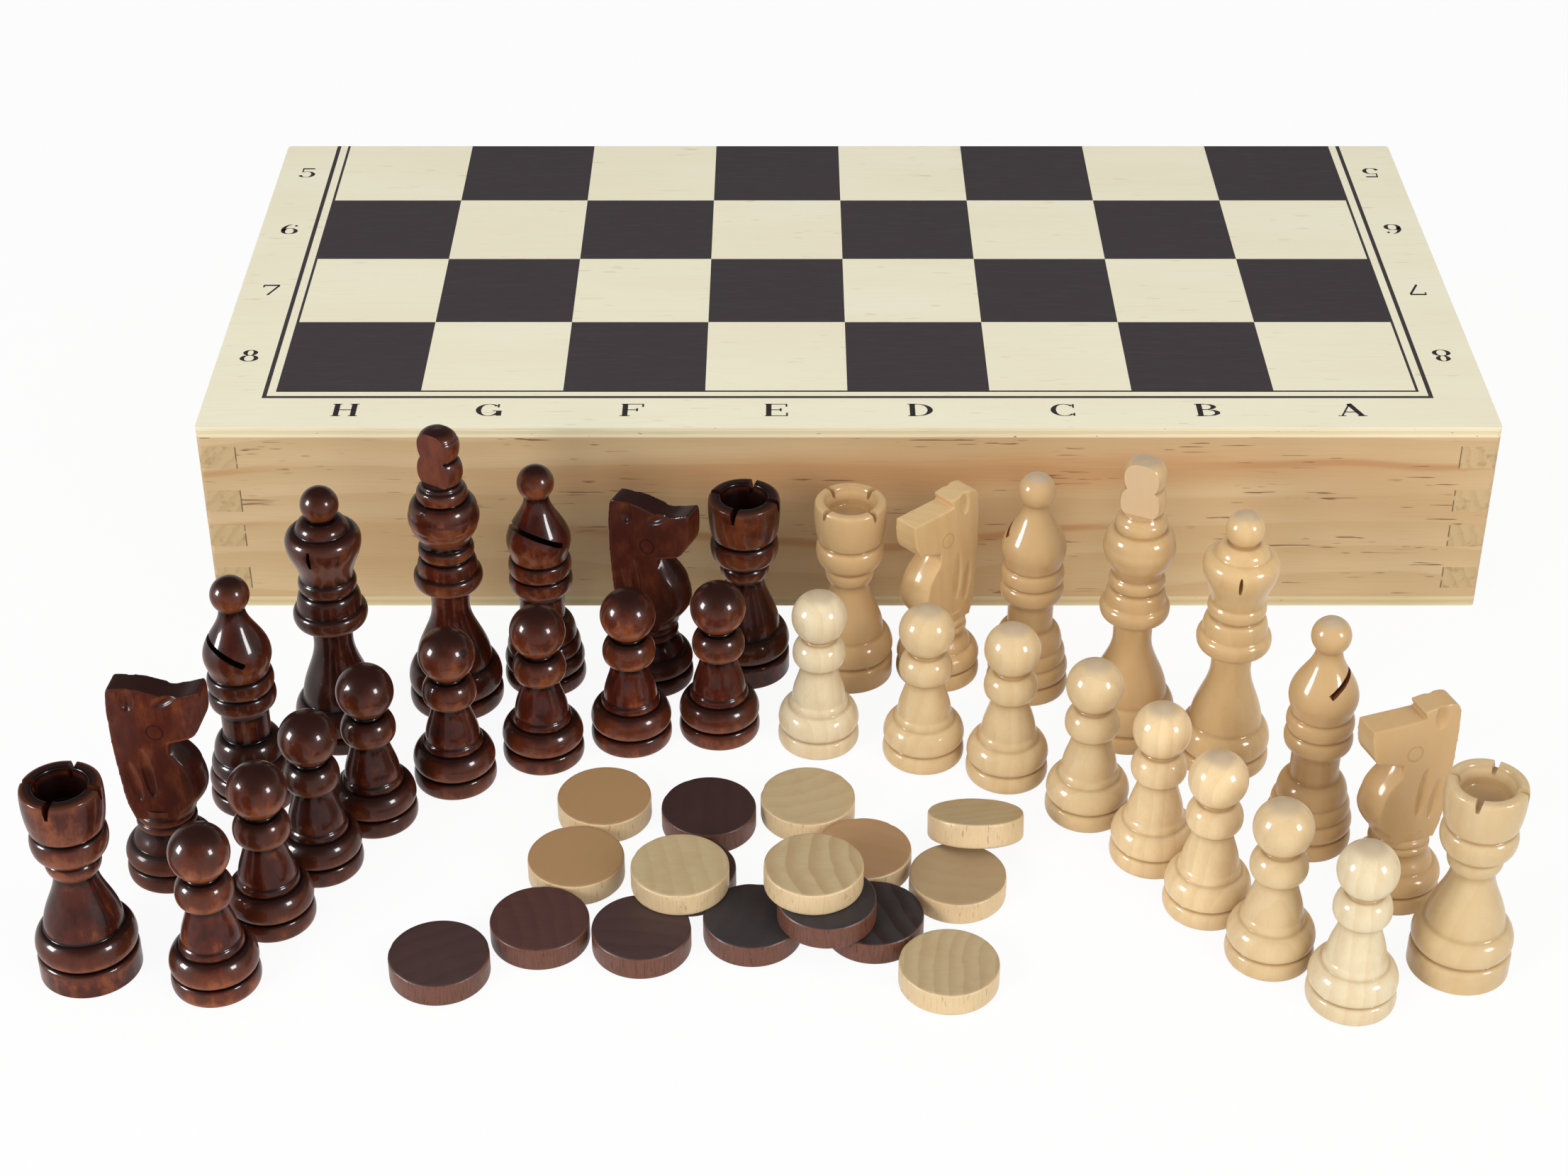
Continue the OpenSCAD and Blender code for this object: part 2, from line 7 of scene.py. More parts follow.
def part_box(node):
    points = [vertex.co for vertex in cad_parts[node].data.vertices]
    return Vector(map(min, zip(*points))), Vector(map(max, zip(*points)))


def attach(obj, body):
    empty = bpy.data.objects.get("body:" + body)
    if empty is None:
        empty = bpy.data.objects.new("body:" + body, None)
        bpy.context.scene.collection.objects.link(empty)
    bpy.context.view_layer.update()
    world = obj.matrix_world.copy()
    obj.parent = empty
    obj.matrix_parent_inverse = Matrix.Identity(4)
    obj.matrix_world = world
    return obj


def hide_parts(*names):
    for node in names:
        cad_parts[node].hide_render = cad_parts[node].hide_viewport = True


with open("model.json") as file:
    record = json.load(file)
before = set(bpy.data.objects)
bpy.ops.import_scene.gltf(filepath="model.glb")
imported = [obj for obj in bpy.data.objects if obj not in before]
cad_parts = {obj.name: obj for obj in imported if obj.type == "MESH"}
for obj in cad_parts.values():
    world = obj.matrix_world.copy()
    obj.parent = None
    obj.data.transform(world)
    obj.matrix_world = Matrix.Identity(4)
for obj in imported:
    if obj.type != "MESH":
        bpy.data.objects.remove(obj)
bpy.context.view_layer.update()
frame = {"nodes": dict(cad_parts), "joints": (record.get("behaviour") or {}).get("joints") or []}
nodes = frame["nodes"]
liftOf = {joint["child"]: joint for joint in frame["joints"]}
mm = 0.001
boxLook = {"wall": 10.0, "height": 56.0, "wallEase": 0.00022, "boardEase": 0.00025}  # the eased edges are in metres
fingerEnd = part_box("upper_front_wall")[1][0] * 1000 - boxLook["wall"]  # where the fingers end, in mm from the middle
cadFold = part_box("upper_board")[1][1] * 1000  # the panels' rear edge, in mm, where the board folds
scene = bpy.context.scene
print("frame loaded,", len(nodes), "nodes")


# shader maths: a Wire is one socket, and a Shader builds one material, or the world
class Wire:
    def __init__(self, shader, socket):
        self.shader, self.socket = shader, socket

    def __add__(self, other): return self.shader.calc("ADD", self, other)
    def __radd__(self, other): return self.shader.calc("ADD", other, self)
    def __sub__(self, other): return self.shader.calc("SUBTRACT", self, other)
    def __rsub__(self, other): return self.shader.calc("SUBTRACT", other, self)
    def __mul__(self, other): return self.shader.calc("MULTIPLY", self, other)
    def __rmul__(self, other): return self.shader.calc("MULTIPLY", other, self)
    def __truediv__(self, other): return self.shader.calc("DIVIDE", self, other)
    def __rtruediv__(self, other): return self.shader.calc("DIVIDE", other, self)
    def __abs__(self): return self.shader.calc("ABSOLUTE", self)


class Shader:
    def __init__(self, owner):  # a new material's name, or the world
        self.owner = bpy.data.materials.new(owner) if isinstance(owner, str) else owner
        self.owner.use_nodes = True
        self.tree = self.owner.node_tree
        self.tree.nodes.clear()

    def add(self, kind, settings=None, values=None, out=0):
        made = self.tree.nodes.new(kind)
        for key, value in (settings or {}).items():
            setattr(made, key, value)
        for key, value in (values or {}).items():
            if isinstance(value, Wire):
                self.tree.links.new(value.socket, made.inputs[key])
            else:
                made.inputs[key].default_value = value
        if out == "all":
            return [Wire(self, socket) for socket in made.outputs]
        return Wire(self, made.outputs[out]) if len(made.outputs) else made

    def calc(self, operation, *values):
        return self.add("ShaderNodeMath", {"operation": operation}, dict(enumerate(values)))

    def vector(self, operation, a, b, out=0):
        return self.add("ShaderNodeVectorMath", {"operation": operation}, {0: a, 1: b}, out)

    def mix(self, factor, a, b):  # a and b are colours, each a wire or a code such as "c9a87a"
        a, b = (paint(colour) if isinstance(colour, str) else colour for colour in (a, b))
        return self.add("ShaderNodeMix", {"data_type": "RGBA"}, {0: factor, 6: a, 7: b}, out=2)

    def smooth(self, value, low, high, a=0.0, b=1.0):
        return self.add("ShaderNodeMapRange", {"interpolation_type": "SMOOTHSTEP"},
                        {0: value, 1: low, 2: high, 3: a, 4: b})

    def noise(self, place, scale, detail=2.0, rough=0.5):
        return self.add("ShaderNodeTexNoise", None,
                        {"Vector": place, "Scale": scale, "Detail": detail, "Roughness": rough})

    def streaks(self, place, across, along, detail=2.0, rough=0.5):  # noise drawn out along the grain
        return self.noise(self.vector("MULTIPLY", place, (across, across, along)), 1.0, detail, rough)

    def parts(self, place):
        return self.add("ShaderNodeSeparateXYZ", None, {0: place}, out="all")

    def millimetres(self):
        place = self.add("ShaderNodeTexCoord", out=3)
        return self.vector("MULTIPLY", place, (1000, 1000, 1000))

    def facing(self):  # which way the surface looks, along x, y and z
        return self.parts(self.add("ShaderNodeTexCoord", out=1))

    def grain(self, place, axis, shift):  # the same point with the grain along z, moved to its own bit of tree
        x, y, z = self.parts(place)
        along = {"x": (y, z, x), "y": (x, z, y), "z": (x, y, z)}[axis]
        return self.vector("ADD", self.add("ShaderNodeCombineXYZ", None, dict(enumerate(along))), shift)

    def lateWood(self, level, every, low, high, drop):  # the darker wood of each tree ring, which ends sharply
        ring = self.calc("FRACT", level / every)
        return self.smooth(ring, low, high) * self.smooth(ring, 1.0, drop)

    def principled(self, colour, rough, others, bump, strength, distance):
        normal = self.add("ShaderNodeBump", None, {"Strength": strength, "Distance": distance, "Height": bump})
        sockets = {"Base Color": colour, "Roughness": rough, **others, "Normal": normal}
        shade = self.add("ShaderNodeBsdfPrincipled", None, sockets)
        self.add("ShaderNodeOutputMaterial", None, {0: shade})
        return self.owner


def paint(code):  # a screen colour as Blender's linear one
    channels = [int(code[i:i + 2], 16) / 255 for i in (0, 2, 4)]
    return tuple(c / 12.92 if c <= 0.04045 else ((c + 0.055) / 1.055) ** 2.4 for c in channels) + (1.0,)


def meshOf(name, verts, faces):
    mesh = bpy.data.meshes.new(name)
    mesh.from_pydata(verts, [], faces)
    mesh.update()
    return mesh


def placed(name, mesh):  # a new object in the scene
    obj = bpy.data.objects.new(name, mesh)
    scene.collection.objects.link(obj)
    return obj


# rings and seams are so many mm apart
pineLook = {"pale": "d2b68b", "mid": "c5a275", "late": "b28959", "streak": "b37c48", "dash": "6b472c",
            "endPale": "c8ac80", "endLate": "b79a6d", "endStain": "9a8158", "gap": "3f2c1c", "roughness": 0.45,
            "ring": 8.5, "seam": 18.4, "endRing": 3.1,
            "heart": {"colour": "bd8450", "along": 12.0, "reach": 150.0, "height": 81.0, "climb": 0.03, "half": 9.0}}


def pineMaterial(name, axis, shift):
    # flat-sawn pine under thin lacquer: calm tan bands, long reddish streaks and short resin dashes
    look = pineLook
    s = Shader(name)
    p = s.grain(s.millimetres(), axis, shift)
    a, b, l = s.parts(p)
    sway = s.streaks(p, 0.012, 0.007, 2)
    level = s.calc("SQRT", a * a + (b + 60) * (b + 60)) + (sway - 0.5) * 24
    late = s.lateWood(level, look["ring"], 0.2, 0.92, 0.94)
    fibre = s.streaks(p, 2.4, 0.05, 5, 0.65)
    blotch = s.streaks(p, 0.05, 0.014, 2)
    colour = s.mix(late * 0.28, look["pale"], look["late"])
    colour = s.mix(s.smooth(blotch, 0.35, 0.7) * 0.8, colour, look["mid"])
    colour = s.mix(s.smooth(fibre, 0.45, 0.8) * 0.22, colour, look["late"])
    seam = abs(s.calc("FRACT", level / look["seam"] + 0.71) - 0.5)
    where = s.smooth(s.streaks(p, 0.03, 0.006, 1), 0.47, 0.58)
    colour = s.mix(s.smooth(seam, 0.09, 0.01) * where * 0.6, colour, look["streak"])
    heart = look["heart"]  # one broad warm streak along the front
    off = abs(b - heart["height"] - l * heart["climb"] + (sway - 0.5) * 22)
    warm = s.smooth(off, heart["half"], 1.5) * s.smooth(abs(l - heart["along"]), heart["reach"], 50.0)
    colour = s.mix(warm * (0.35 + fibre * 0.4), colour, heart["colour"])
    dash = s.smooth(s.streaks(p, 1.5, 0.1, 1), 0.665, 0.715)
    dash = dash * s.smooth(s.streaks(p, 0.14, 0.025, 1), 0.49, 0.6)
    colour = s.mix(dash * 0.8, colour, look["dash"])
    # end grain where the surface faces along the grain
    facing = s.facing()[{"x": 0, "y": 1, "z": 2}[axis]]
    isEnd = s.smooth(abs(facing), 0.6, 0.8)
    endLate = s.lateWood(level + s.streaks(p, 0.4, 0.02, 2) * 2, look["endRing"], 0.3, 0.9, 0.93)
    pores = s.noise(p, 3.2, 3, 0.7)
    smudge = s.streaks(p, 0.32, 0.3, 2)
    endColour = s.mix(endLate * 0.5, look["endPale"], look["endLate"])
    endColour = s.mix(s.smooth(smudge, 0.54, 0.7) * 0.5, endColour, look["endStain"])
    endColour = s.mix(s.smooth(pores, 0.55, 0.75) * 0.18, endColour, look["dash"])
    if axis == "y":  # a hairline gap where the finger's end meets the front, open here and there
        out = abs(s.parts(s.millimetres())[0])
        gap = s.smooth(out, fingerEnd + 0.46, fingerEnd + 0.16) * s.smooth(s.noise(p, 0.4, 2), 0.36, 0.46)
        endColour = s.mix(gap * 0.8, endColour, look["gap"])
    colour = s.mix(isEnd, colour, endColour)
    rough = look["roughness"] + fibre * 0.12 + isEnd * 0.14
    height = fibre * 0.5 - dash * 0.6 - late * 0.15 - s.smooth(pores, 0.5, 0.8) * isEnd * 0.6
    return s.principled(colour, rough, {"Specular IOR Level": 0.3}, height, 0.3, 0.0001)


boardLook = {"square": 37.7, "pale": "f5efd5", "margin": "f1e9cc", "fibre": "e0d5b0", "fleck": "b59e74",
             "ink": "433d3f", "inkFibre": "575153", "innerLine": 0.75, "outerLine": 1.15, "outerGap": 2.9,
             "edges": ("eee2c0", "dccca0"), "shadedLowerEdges": ("ddcba1", "c9b689"),  # the plies and their core; the lower board's are a darker copy, painted shade
             "edgeFibre": "c2ac78", "edgeNick": "7d6338"}


def boardMaterial(name, outerZ, sign):
    # one half of the printed board: four rows of eight squares, two lines round them that run off at the fold
    look = boardLook
    s = Shader(name)
    place = s.millimetres()
    x, y, z = s.parts(place)
    q = look["square"]
    v = cadFold - y
    p = s.grain(place, "x", (13.0, 0.0, 40.0 * sign))
    fibre = s.streaks(p, 1.7, 0.045, 5, 0.62)
    cloud = s.streaks(p, 0.05, 0.012, 2)
    wood = s.mix(s.smooth(cloud, 0.3, 0.7) * 0.6, look["pale"], look["margin"])
    wood = s.mix(s.smooth(fibre, 0.5, 0.8) * 0.3, wood, look["fibre"])
    fleck = s.smooth(s.streaks(p, 1.1, 0.1, 1), 0.72, 0.78)
    wood = s.mix(fleck * 0.3, wood, look["fleck"])
    # plywood layers show on the edges
    depth = abs(z - outerZ)
    layer = s.smooth(depth, 0.95, 1.05) * s.smooth(depth, 2.05, 1.95)
    # the lower board's edges take a darker copy of the same plywood: painted shade
    plain, core = look["edges" if sign > 0 else "shadedLowerEdges"]
    edge = s.mix(layer * 0.6, plain, core)
    edge = s.mix(s.smooth(fibre, 0.5, 0.8) * 0.35, edge, look["edgeFibre"])
    nick = s.smooth(s.streaks(p, 1.3, 0.5, 1), 0.76, 0.8)
    edge = s.mix(nick * 0.7, edge, look["edgeNick"])
    face = s.smooth(depth, 0.25, 0.12)
    wood = s.mix(face, edge, wood)
    # the print
    field = s.calc("LESS_THAN", abs(x), 4 * q) * s.calc("LESS_THAN", v, 4 * q)
    shift = 4 if sign > 0 else 5
    cell = s.calc("FLOOR", x / q + shift) + s.calc("FLOOR", v / q)
    dark = s.calc("MODULO", cell + 100, 2.0) * field
    far = s.calc("MAXIMUM", abs(x), v)  # how far out from the middle of the fold

    def frameLine(inner, width):
        return s.calc("GREATER_THAN", far, 4 * q + inner) * s.calc("LESS_THAN", far, 4 * q + inner + width)

    lines = frameLine(0.0, look["innerLine"]) + frameLine(look["outerGap"], look["outerLine"])
    ink = s.calc("MINIMUM", dark + lines, 1.0) * face
    inkFibre = s.streaks(p, 2.6, 0.11, 4, 0.7)
    inkColour = s.mix(s.smooth(inkFibre, 0.5, 0.85) * 0.7, look["ink"], look["inkFibre"])
    colour = s.mix(ink, wood, inkColour)
    rough = 0.66 + fibre * 0.1 - ink * 0.04
    height = fibre * 0.4 - fleck * 0.4
    return s.principled(colour, rough, {"Specular IOR Level": 0.06}, height, 0.22, 0.00006)


# warm, mid and top are chosen by which way a surface faces: warm is painted light from the floor on what faces down,
# top is painted shade on what faces up, partly darker stained end grain
darkLook = {"warm": "8c4a28", "mid": "4f1c0e", "top": "29120d", "deep": "260c06", "groove": "0b0403",
            "worn": "8a5030", "flat": "6f3f33", "knot": "150a08", "tones": {"brown": 0.0, "plain": 0.22, "deep": 0.5}}
lightLook = {"tones": {"pale": "e2d2b0", "fair": "ecd0a3", "plain": "dcc297", "dull": "d2b98f", "honey": "dab987",
                       "warm": "cba97a"},
             "late": "c8a06a", "endGrainShadeCap": "bba68c", "groove": "9c7443", "cut": "70381f", "flat": "dcbf9c"}
lacquer = {"specular": 0.08, "roughness": 0.32, "coat": 0.36, "coatRoughness": 0.1, "ring": 3.4}


def manMaterial(name, side, seed, tone="plain", gloss=1.0, endGrainShadeCap=0.8, mottled=2.0, knot=None, eye=None, flats=None):
    # turned wood: tree rings round a far centre, long fibres, end grain on top with painted shade there, and darkened
    # grooves: stained on the dark men, painted shade on the light
    look = darkLook if side == "dark" else lightLook
    s = Shader(name)
    r = random.Random(seed)
    place = s.millimetres()
    x, y, z = s.parts(place)
    shift = (r.uniform(14, 40) * r.choice((-1, 1)), r.uniform(-30, 30), r.uniform(0, 200))
    p = s.vector("ADD", place, shift)
    a, b, l = s.parts(p)
    relief = s.add("ShaderNodeAttribute", {"attribute_name": "relief"}, out=2)
    sway = s.streaks(p, 0.12, 0.02, 3)
    late = s.lateWood(s.calc("SQRT", a * a + b * b) + (sway - 0.5) * 5, lacquer["ring"], 0.2, 0.9, 0.94)
    fibre = s.streaks(p, 2.2, 0.16, 4, 0.62)
    mottle = s.streaks(p, 0.24, 0.15, 3, 0.6)
    pores = s.noise(p, 4.5, 3, 0.7)
    _, front, up = s.facing()
    high = s.smooth(relief, 0.1, 0.8)
    low = s.smooth(relief, -0.15, -0.75)
    if side == "dark":  # painted light by facing: painted shade on what faces up, partly its darker stained end grain, and warm painted light from the floor on what faces down
        facing = up + (mottle - 0.5) * mottled + (fibre - 0.5) * 0.25
        colour = s.mix(s.smooth(facing, -0.4, 0.2), look["warm"], look["mid"])
        colour = s.mix(s.smooth(facing, 0.15, 0.8), colour, look["top"])
        colour = s.mix(late * 0.2, colour, look["deep"])
        colour = s.mix(s.smooth(pores, 0.56, 0.75) * 0.25, colour, look["deep"])
        colour = s.mix(high * 0.3, colour, look["worn"])
        colour = s.mix(look["tones"][tone], colour, look["deep"])
        colour = s.mix(low * 0.92, colour, look["groove"])
    else:
        colour = s.mix(late * 0.17, look["tones"][tone], look["late"])
        colour = s.mix(s.smooth(fibre, 0.45, 0.8) * 0.16, colour, look["late"])
        colour = s.mix(s.smooth(mottle, 0.4, 0.75) * 0.22, colour, look["late"])
        # the cap on the ball's top is its greyer end grain and painted shade, where little light falls from above
        ball = s.smooth(s.calc("SQRT", x * x + y * y), 4.8, 2.2)
        colour = s.mix(s.smooth(up + (mottle - 0.5) * 0.4, 0.6, 0.9) * ball * endGrainShadeCap, colour, look["endGrainShadeCap"])
        # painted shade: darker towards the foot, near the floor
        colour = s.mix(s.smooth(z, 6.5, 1.5) * 0.22, colour, look["late"])
        # painted shade in the grooves and down in a rook's hollow
        colour = s.mix(low * 0.3 + s.smooth(relief, -0.7, -0.9) * 0.25, colour, look["groove"])
        colour = s.mix(s.smooth(relief, -1.1, -1.6) * 0.9, colour, look["cut"])
    height = fibre * 0.18 + mottle * 0.45 - s.smooth(pores, 0.6, 0.8) * 0.25
    coat = lacquer["coat"] * gloss
    rough = lacquer["roughness"] / gloss + mottle * 0.1 + s.smooth(pores, 0.55, 0.8) * 0.1
    if flats:  # the two sawn sides of the finial took the lacquer thin
        sawn = s.smooth(abs(front), 0.95, 0.99) * s.smooth(z, flats, flats + 0.4)
        colour = s.mix(sawn * (0.75 - fibre * 0.3), colour, look["flat"])
        coat = coat * (1 - sawn * 0.6)
        rough = rough + sawn * 0.12
    if knot:  # a small dark knot at this point of the man
        off = s.vector("DISTANCE", place, knot, out=1) + (s.noise(place, 1.4, 2) - 0.5) * 1.2
        colour = s.mix(s.smooth(off, 1.35, 0.8), colour, look["knot"])
    if eye:  # a ring pressed into both cheeks, darkened like the grooves: stained on the dark men, painted shade on the light
        off = s.calc("SQRT", (x - eye["x"]) * (x - eye["x"]) + (z - eye["z"]) * (z - eye["z"]))
        line = s.smooth(abs(off - eye["r"]), 0.36, 0.1) * eye["depth"]
        colour = s.mix(line, colour, look["groove"])
        height = height - line * 3
    finish = {"Specular IOR Level": lacquer["specular"], "Coat Weight": coat,
              "Coat Roughness": lacquer["coatRoughness"] / gloss}
    return s.principled(colour, rough, finish, height, 0.28, 0.0002)


discLook = {
    "dark": {"tops": {"plain": "45302d", "wine": "3b2624", "red": "52332d", "black": "342f30"}, "late": "2a1c1b",
             "side": "704534", "sideDeep": "4a2a20", "tear": "2f1a14"},
    "light": {"tops": {"sand": "baa57f", "dusk": "a9906d", "tan": "a5825a", "orange": "aa8560"}, "late": "9c7c4e",
              "side": "dcc196", "sideDeep": "a5825a", "tear": "a67c48"}}


def discMaterial(name, side, seed, tone, pitch=4.4, contrast=0.32):
    # a slice off a rod: tree rings on the sawn faces, upright fibres and small tears round the side
    s = Shader(name)
    r = random.Random(seed)
    turn, far = r.uniform(0, 6.28), r.uniform(24, 60)
    p = s.vector("ADD", s.millimetres(), (far * math.cos(turn), far * math.sin(turn), r.uniform(0, 100)))
    a, b, l = s.parts(p)
    sway = s.streaks(p, 0.06, 0.06, 2)
    late = s.lateWood(s.calc("SQRT", a * a + b * b) + (sway - 0.5) * 5, pitch, 0.15, 0.92, 0.93)
    isTop = s.smooth(abs(s.facing()[2]), 0.55, 0.8)
    cloud = s.noise(p, 0.16, 3, 0.6)
    sawn = s.noise(s.vector("MULTIPLY", p, (0.25, 2.6, 1.0)), 1.0, 4, 0.65)
    upright = s.streaks(p, 2.6, 0.22, 4, 0.65)
    tears = s.smooth(s.streaks(p, 1.5, 0.3, 2, 0.6), 0.62, 0.7) * (1 - isTop)
    look = discLook[side]
    if side == "dark":
        top = s.mix(late * 0.55 * contrast + s.smooth(sawn, 0.45, 0.75) * 0.22, look["tops"][tone], look["late"])
        top = s.mix(s.smooth(cloud, 0.52, 0.75) * 0.3, top, look["tops"]["red"])
        rim = s.mix(s.smooth(upright, 0.35, 0.75) * 0.75, look["side"], look["sideDeep"])
        rim = s.mix(tears * 0.6, rim, look["tear"])
    else:
        top = s.mix(late * 0.5 * contrast, look["tops"][tone], look["late"])
        top = s.mix(s.smooth(sawn, 0.45, 0.8) * 0.18, top, look["late"])
        top = s.mix(s.smooth(cloud, 0.45, 0.7) * 0.2, top, look["tops"]["tan"])
        rim = s.mix(s.smooth(upright, 0.45, 0.8) * 0.35, look["side"], look["sideDeep"])
        rim = s.mix(tears * 0.5, rim, look["tear"])
    height = sawn * 0.4 * isTop + upright * 0.5 - tears * 1.4 - late * 0.15
    colour = s.mix(isTop, rim, top)
    rough = 0.5 - (1 - isTop) * 0.1 + cloud * 0.1
    finish = {"Specular IOR Level": 0.3, "Coat Weight": 0.08, "Coat Roughness": 0.2}
    return s.principled(colour, rough, finish, height, 0.3, 0.00016)


metals = {
    "hingeBrass": {"clean": "c9a557", "dull": "8a6a34", "brushed": 0.25, "axis": "x",
                   "on": ("hinge_lower_leaves", "hinge_upper_leaves", "lower_hinge_screws", "upper_hinge_screws")},
    "pinSteel": {"clean": "b9bbbd", "dull": "84868a", "brushed": 0.2, "axis": "x", "on": ("hinge_pins",)},
    "magnetNickel": {"clean": "c8cacc", "dull": "9a9da0", "brushed": 0.08, "axis": "z",
                     "on": ("lower_magnets", "upper_magnets")}}


def metalMaterial(name, look):
    s = Shader(name)
    p = s.grain(s.millimetres(), look["axis"], (3.0, 7.0, 11.0))
    lines = s.streaks(p, 6.0, 0.2, 3, 0.6)
    stains = s.noise(p, 0.5, 3, 0.6)
    tone = s.mix(s.smooth(stains, 0.45, 0.75) * 0.4, look["clean"], look["dull"])
    rough = 0.2 + lines * look["brushed"] + stains * 0.15
    return s.principled(tone, rough, {"Metallic": 1.0}, lines, 0.15, 0.00004)


def inkMaterial():
    s = Shader("coordinateInk")
    p = s.millimetres()
    grain = s.streaks(p, 2.2, 2.2, 3, 0.6)
    tone = s.mix(s.smooth(grain, 0.45, 0.8) * 0.5, letterLook["ink"], letterLook["inkFibre"])
    return s.principled(tone, 0.62 + grain * 0.1, {"Specular IOR Level": 0.06}, grain, 0.1, 0.00003)


def dress(obj, material):
    obj.data.materials.clear()
    obj.data.materials.append(material)


# the box: CAD nodes keep their shape, and get eased edges and their own wood
def easeEdges(obj, width):
    weld = obj.modifiers.new("weld", "WELD")
    weld.merge_threshold = 0.000002
    bevel = obj.modifiers.new("ease", "BEVEL")
    bevel.width, bevel.segments = width, 2
    bevel.limit_method, bevel.angle_limit = "ANGLE", math.radians(40)
    bevel.harden_normals = True
    bevel.use_clamp_overlap = True


# the walls of both halves were one board before the box was sawn apart, so upper and lower share a figure
walls = {"front_wall": ("x", (12.0, 40.0, 0.0)), "back_wall": ("x", (90.0, 31.0, 700.0)),
         "left_wall": ("y", (7.0, 21.0, 130.0)), "right_wall": ("y", (160.0, 17.0, 520.0))}
for half in ("lower", "upper"):
    for wall, (axis, shift) in walls.items():
        dress(nodes[f"{half}_{wall}"], pineMaterial(f"pine_{half}_{wall}", axis, shift))
        easeEdges(nodes[f"{half}_{wall}"], boxLook["wallEase"])
dress(nodes["upper_board"], boardMaterial("printUpper", boxLook["height"], 1))
dress(nodes["lower_board"], boardMaterial("printLower", 0.0, -1))
for half in ("upper", "lower"):
    easeEdges(nodes[f"{half}_board"], boxLook["boardEase"])
for name, look in metals.items():
    metal = metalMaterial(name, look)
    for node in look["on"]:
        dress(nodes[node], metal)
print("box dressed")


# coordinates printed round the board: each glyph is strokes on a 1 by 1 cell, of which a bar has five numbers
# (x0, y0, x1, y1, width) and a bow has eight (middle x, middle y, radius x, radius y, from, to, thin, thick)
thick, thin, hair = 0.19, 0.065, 0.055


def serif(x, y, half=0.14):
    return (x - half, y, x + half, y, hair)


glyphs = {
    "H": [(.2, 0, .2, 1, thick), (.8, 0, .8, 1, thick), (.2, .52, .8, .52, thin),
          serif(.2, .03, .16), serif(.8, .03, .16), serif(.2, .97, .16), serif(.8, .97, .16)],
    "G": [(.5, .5, .4, .47, 40, 325, thin, thick), (.86, .04, .86, .42, thick),
          serif(.8, .42, .16), (.83, .7, .83, .97, thin)],
    "F": [(.24, 0, .24, 1, thick), (.1, .97, .88, .97, hair), (.24, .52, .66, .52, thin),
          (.86, .74, .86, .97, thin), (.66, .4, .66, .64, thin), serif(.24, .03, .18)],
    "E": [(.24, 0, .24, 1, thick), (.1, .97, .88, .97, hair), (.1, .03, .9, .03, hair),
          (.24, .52, .66, .52, thin), (.86, .76, .86, .97, thin), (.88, .03, .88, .28, thin),
          (.66, .4, .66, .64, thin)],
    "D": [(.24, 0, .24, 1, thick), (.38, .5, .52, .475, -90, 90, hair, thick),
          (.08, .97, .4, .97, hair), (.08, .03, .4, .03, hair)],
    "C": [(.52, .5, .42, .47, 42, 318, thin, thick), (.85, .68, .85, .97, thin),
          (.85, .03, .85, .26, thin)],
    "B": [(.24, 0, .24, 1, thick), (.42, .755, .36, .215, -90, 90, hair, thick),
          (.44, .28, .44, .25, -90, 90, hair, thick), (.08, .97, .44, .97, hair),
          (.08, .03, .46, .03, hair), (.24, .535, .46, .535, thin)],
    "A": [(.5, .98, .14, .03, thin), (.48, 1, .84, .03, thick), (.26, .34, .72, .34, thin),
          serif(.14, .03), serif(.84, .03, .17)],
    "1": [(.5, 0, .5, 1, thick), (.5, .97, .3, .8, thin), serif(.5, .03, .2)],
    "2": [(.48, .72, .3, .25, -30, 170, thin, thick), (.74, .6, .2, .06, .08), (.18, .05, .8, .05, .1),
          (.8, .03, .84, .24, thin)],
    "3": [(.46, .75, .28, .22, -80, 150, thin, thick), (.46, .28, .33, .25, -155, 82, thin, thick)],
    "4": [(.64, 0, .64, 1, thick), (.64, .98, .14, .3, thin), (.12, .3, .88, .3, .07),
          serif(.64, .03, .17)],
    "5": [(.46, .32, .34, .3, -160, 120, thin, thick), (.26, .55, .26, .97, thin), (.24, .93, .78, .93, .12),
          (.22, .18, .07, .06, 0, 360, .06, .08)],
    "6": [(.5, .3, .32, .27, 0, 360, thin, thick), (.62, .42, .45, .54, 100, 190, thin, thick),
          (.74, .82, .07, .06, 0, 360, .06, .08)],
    "7": [(.16, .92, .84, .92, .12), (.82, .9, .42, .02, .1), (.17, .72, .17, .95, thin)],
    "8": [(.5, .74, .25, .22, 0, 360, thin, thick), (.5, .27, .33, .25, 0, 360, thin, thick)],
}


def strokeQuads(stroke):
    if len(stroke) == 5:
        x0, y0, x1, y1, w = stroke
        d = Vector((x1 - x0, y1 - y0)).normalized()
        n = Vector((-d.y, d.x)) * w / 2
        a, b = Vector((x0, y0)), Vector((x1, y1))
        return [[a - n, b - n, b + n, a + n]]
    cx, cy, rx, ry, start, end, wThin, wThick = stroke
    steps = 28
    outer, inner = [], []
    for i in range(steps + 1):
        t = math.radians(start + (end - start) * i / steps)
        w = wThin + (wThick - wThin) * abs(math.cos(t)) ** 1.4  # fat at the sides, thin at top and bottom
        c = Vector((math.cos(t), math.sin(t)))
        centre = Vector((cx, cy))
        outer.append(centre + Vector((c.x * (rx + w / 2 - .04), c.y * (ry + w / 4))))
        inner.append(centre + Vector((c.x * (rx - w / 2 - .04), c.y * (ry - w / 4))))
    return [[inner[i], inner[i + 1], outer[i + 1], outer[i]] for i in range(steps)]


def glyphMesh(name, marks, toWorld):
    verts, faces = [], []
    for text, x, y, width, height, turned in marks:
        for stroke in glyphs[text]:
            for quad in strokeQuads(stroke):
                corner = len(verts)
                for point in quad:
                    u, w = (point.x - 0.5) * width, (point.y - 0.5) * height
                    if turned:
                        u, w = -u, -w
                    verts.append(toWorld(x + u, y + w))
                faces.append([corner + i for i in range(4)])
    return placed(name, meshOf(name, verts, faces))


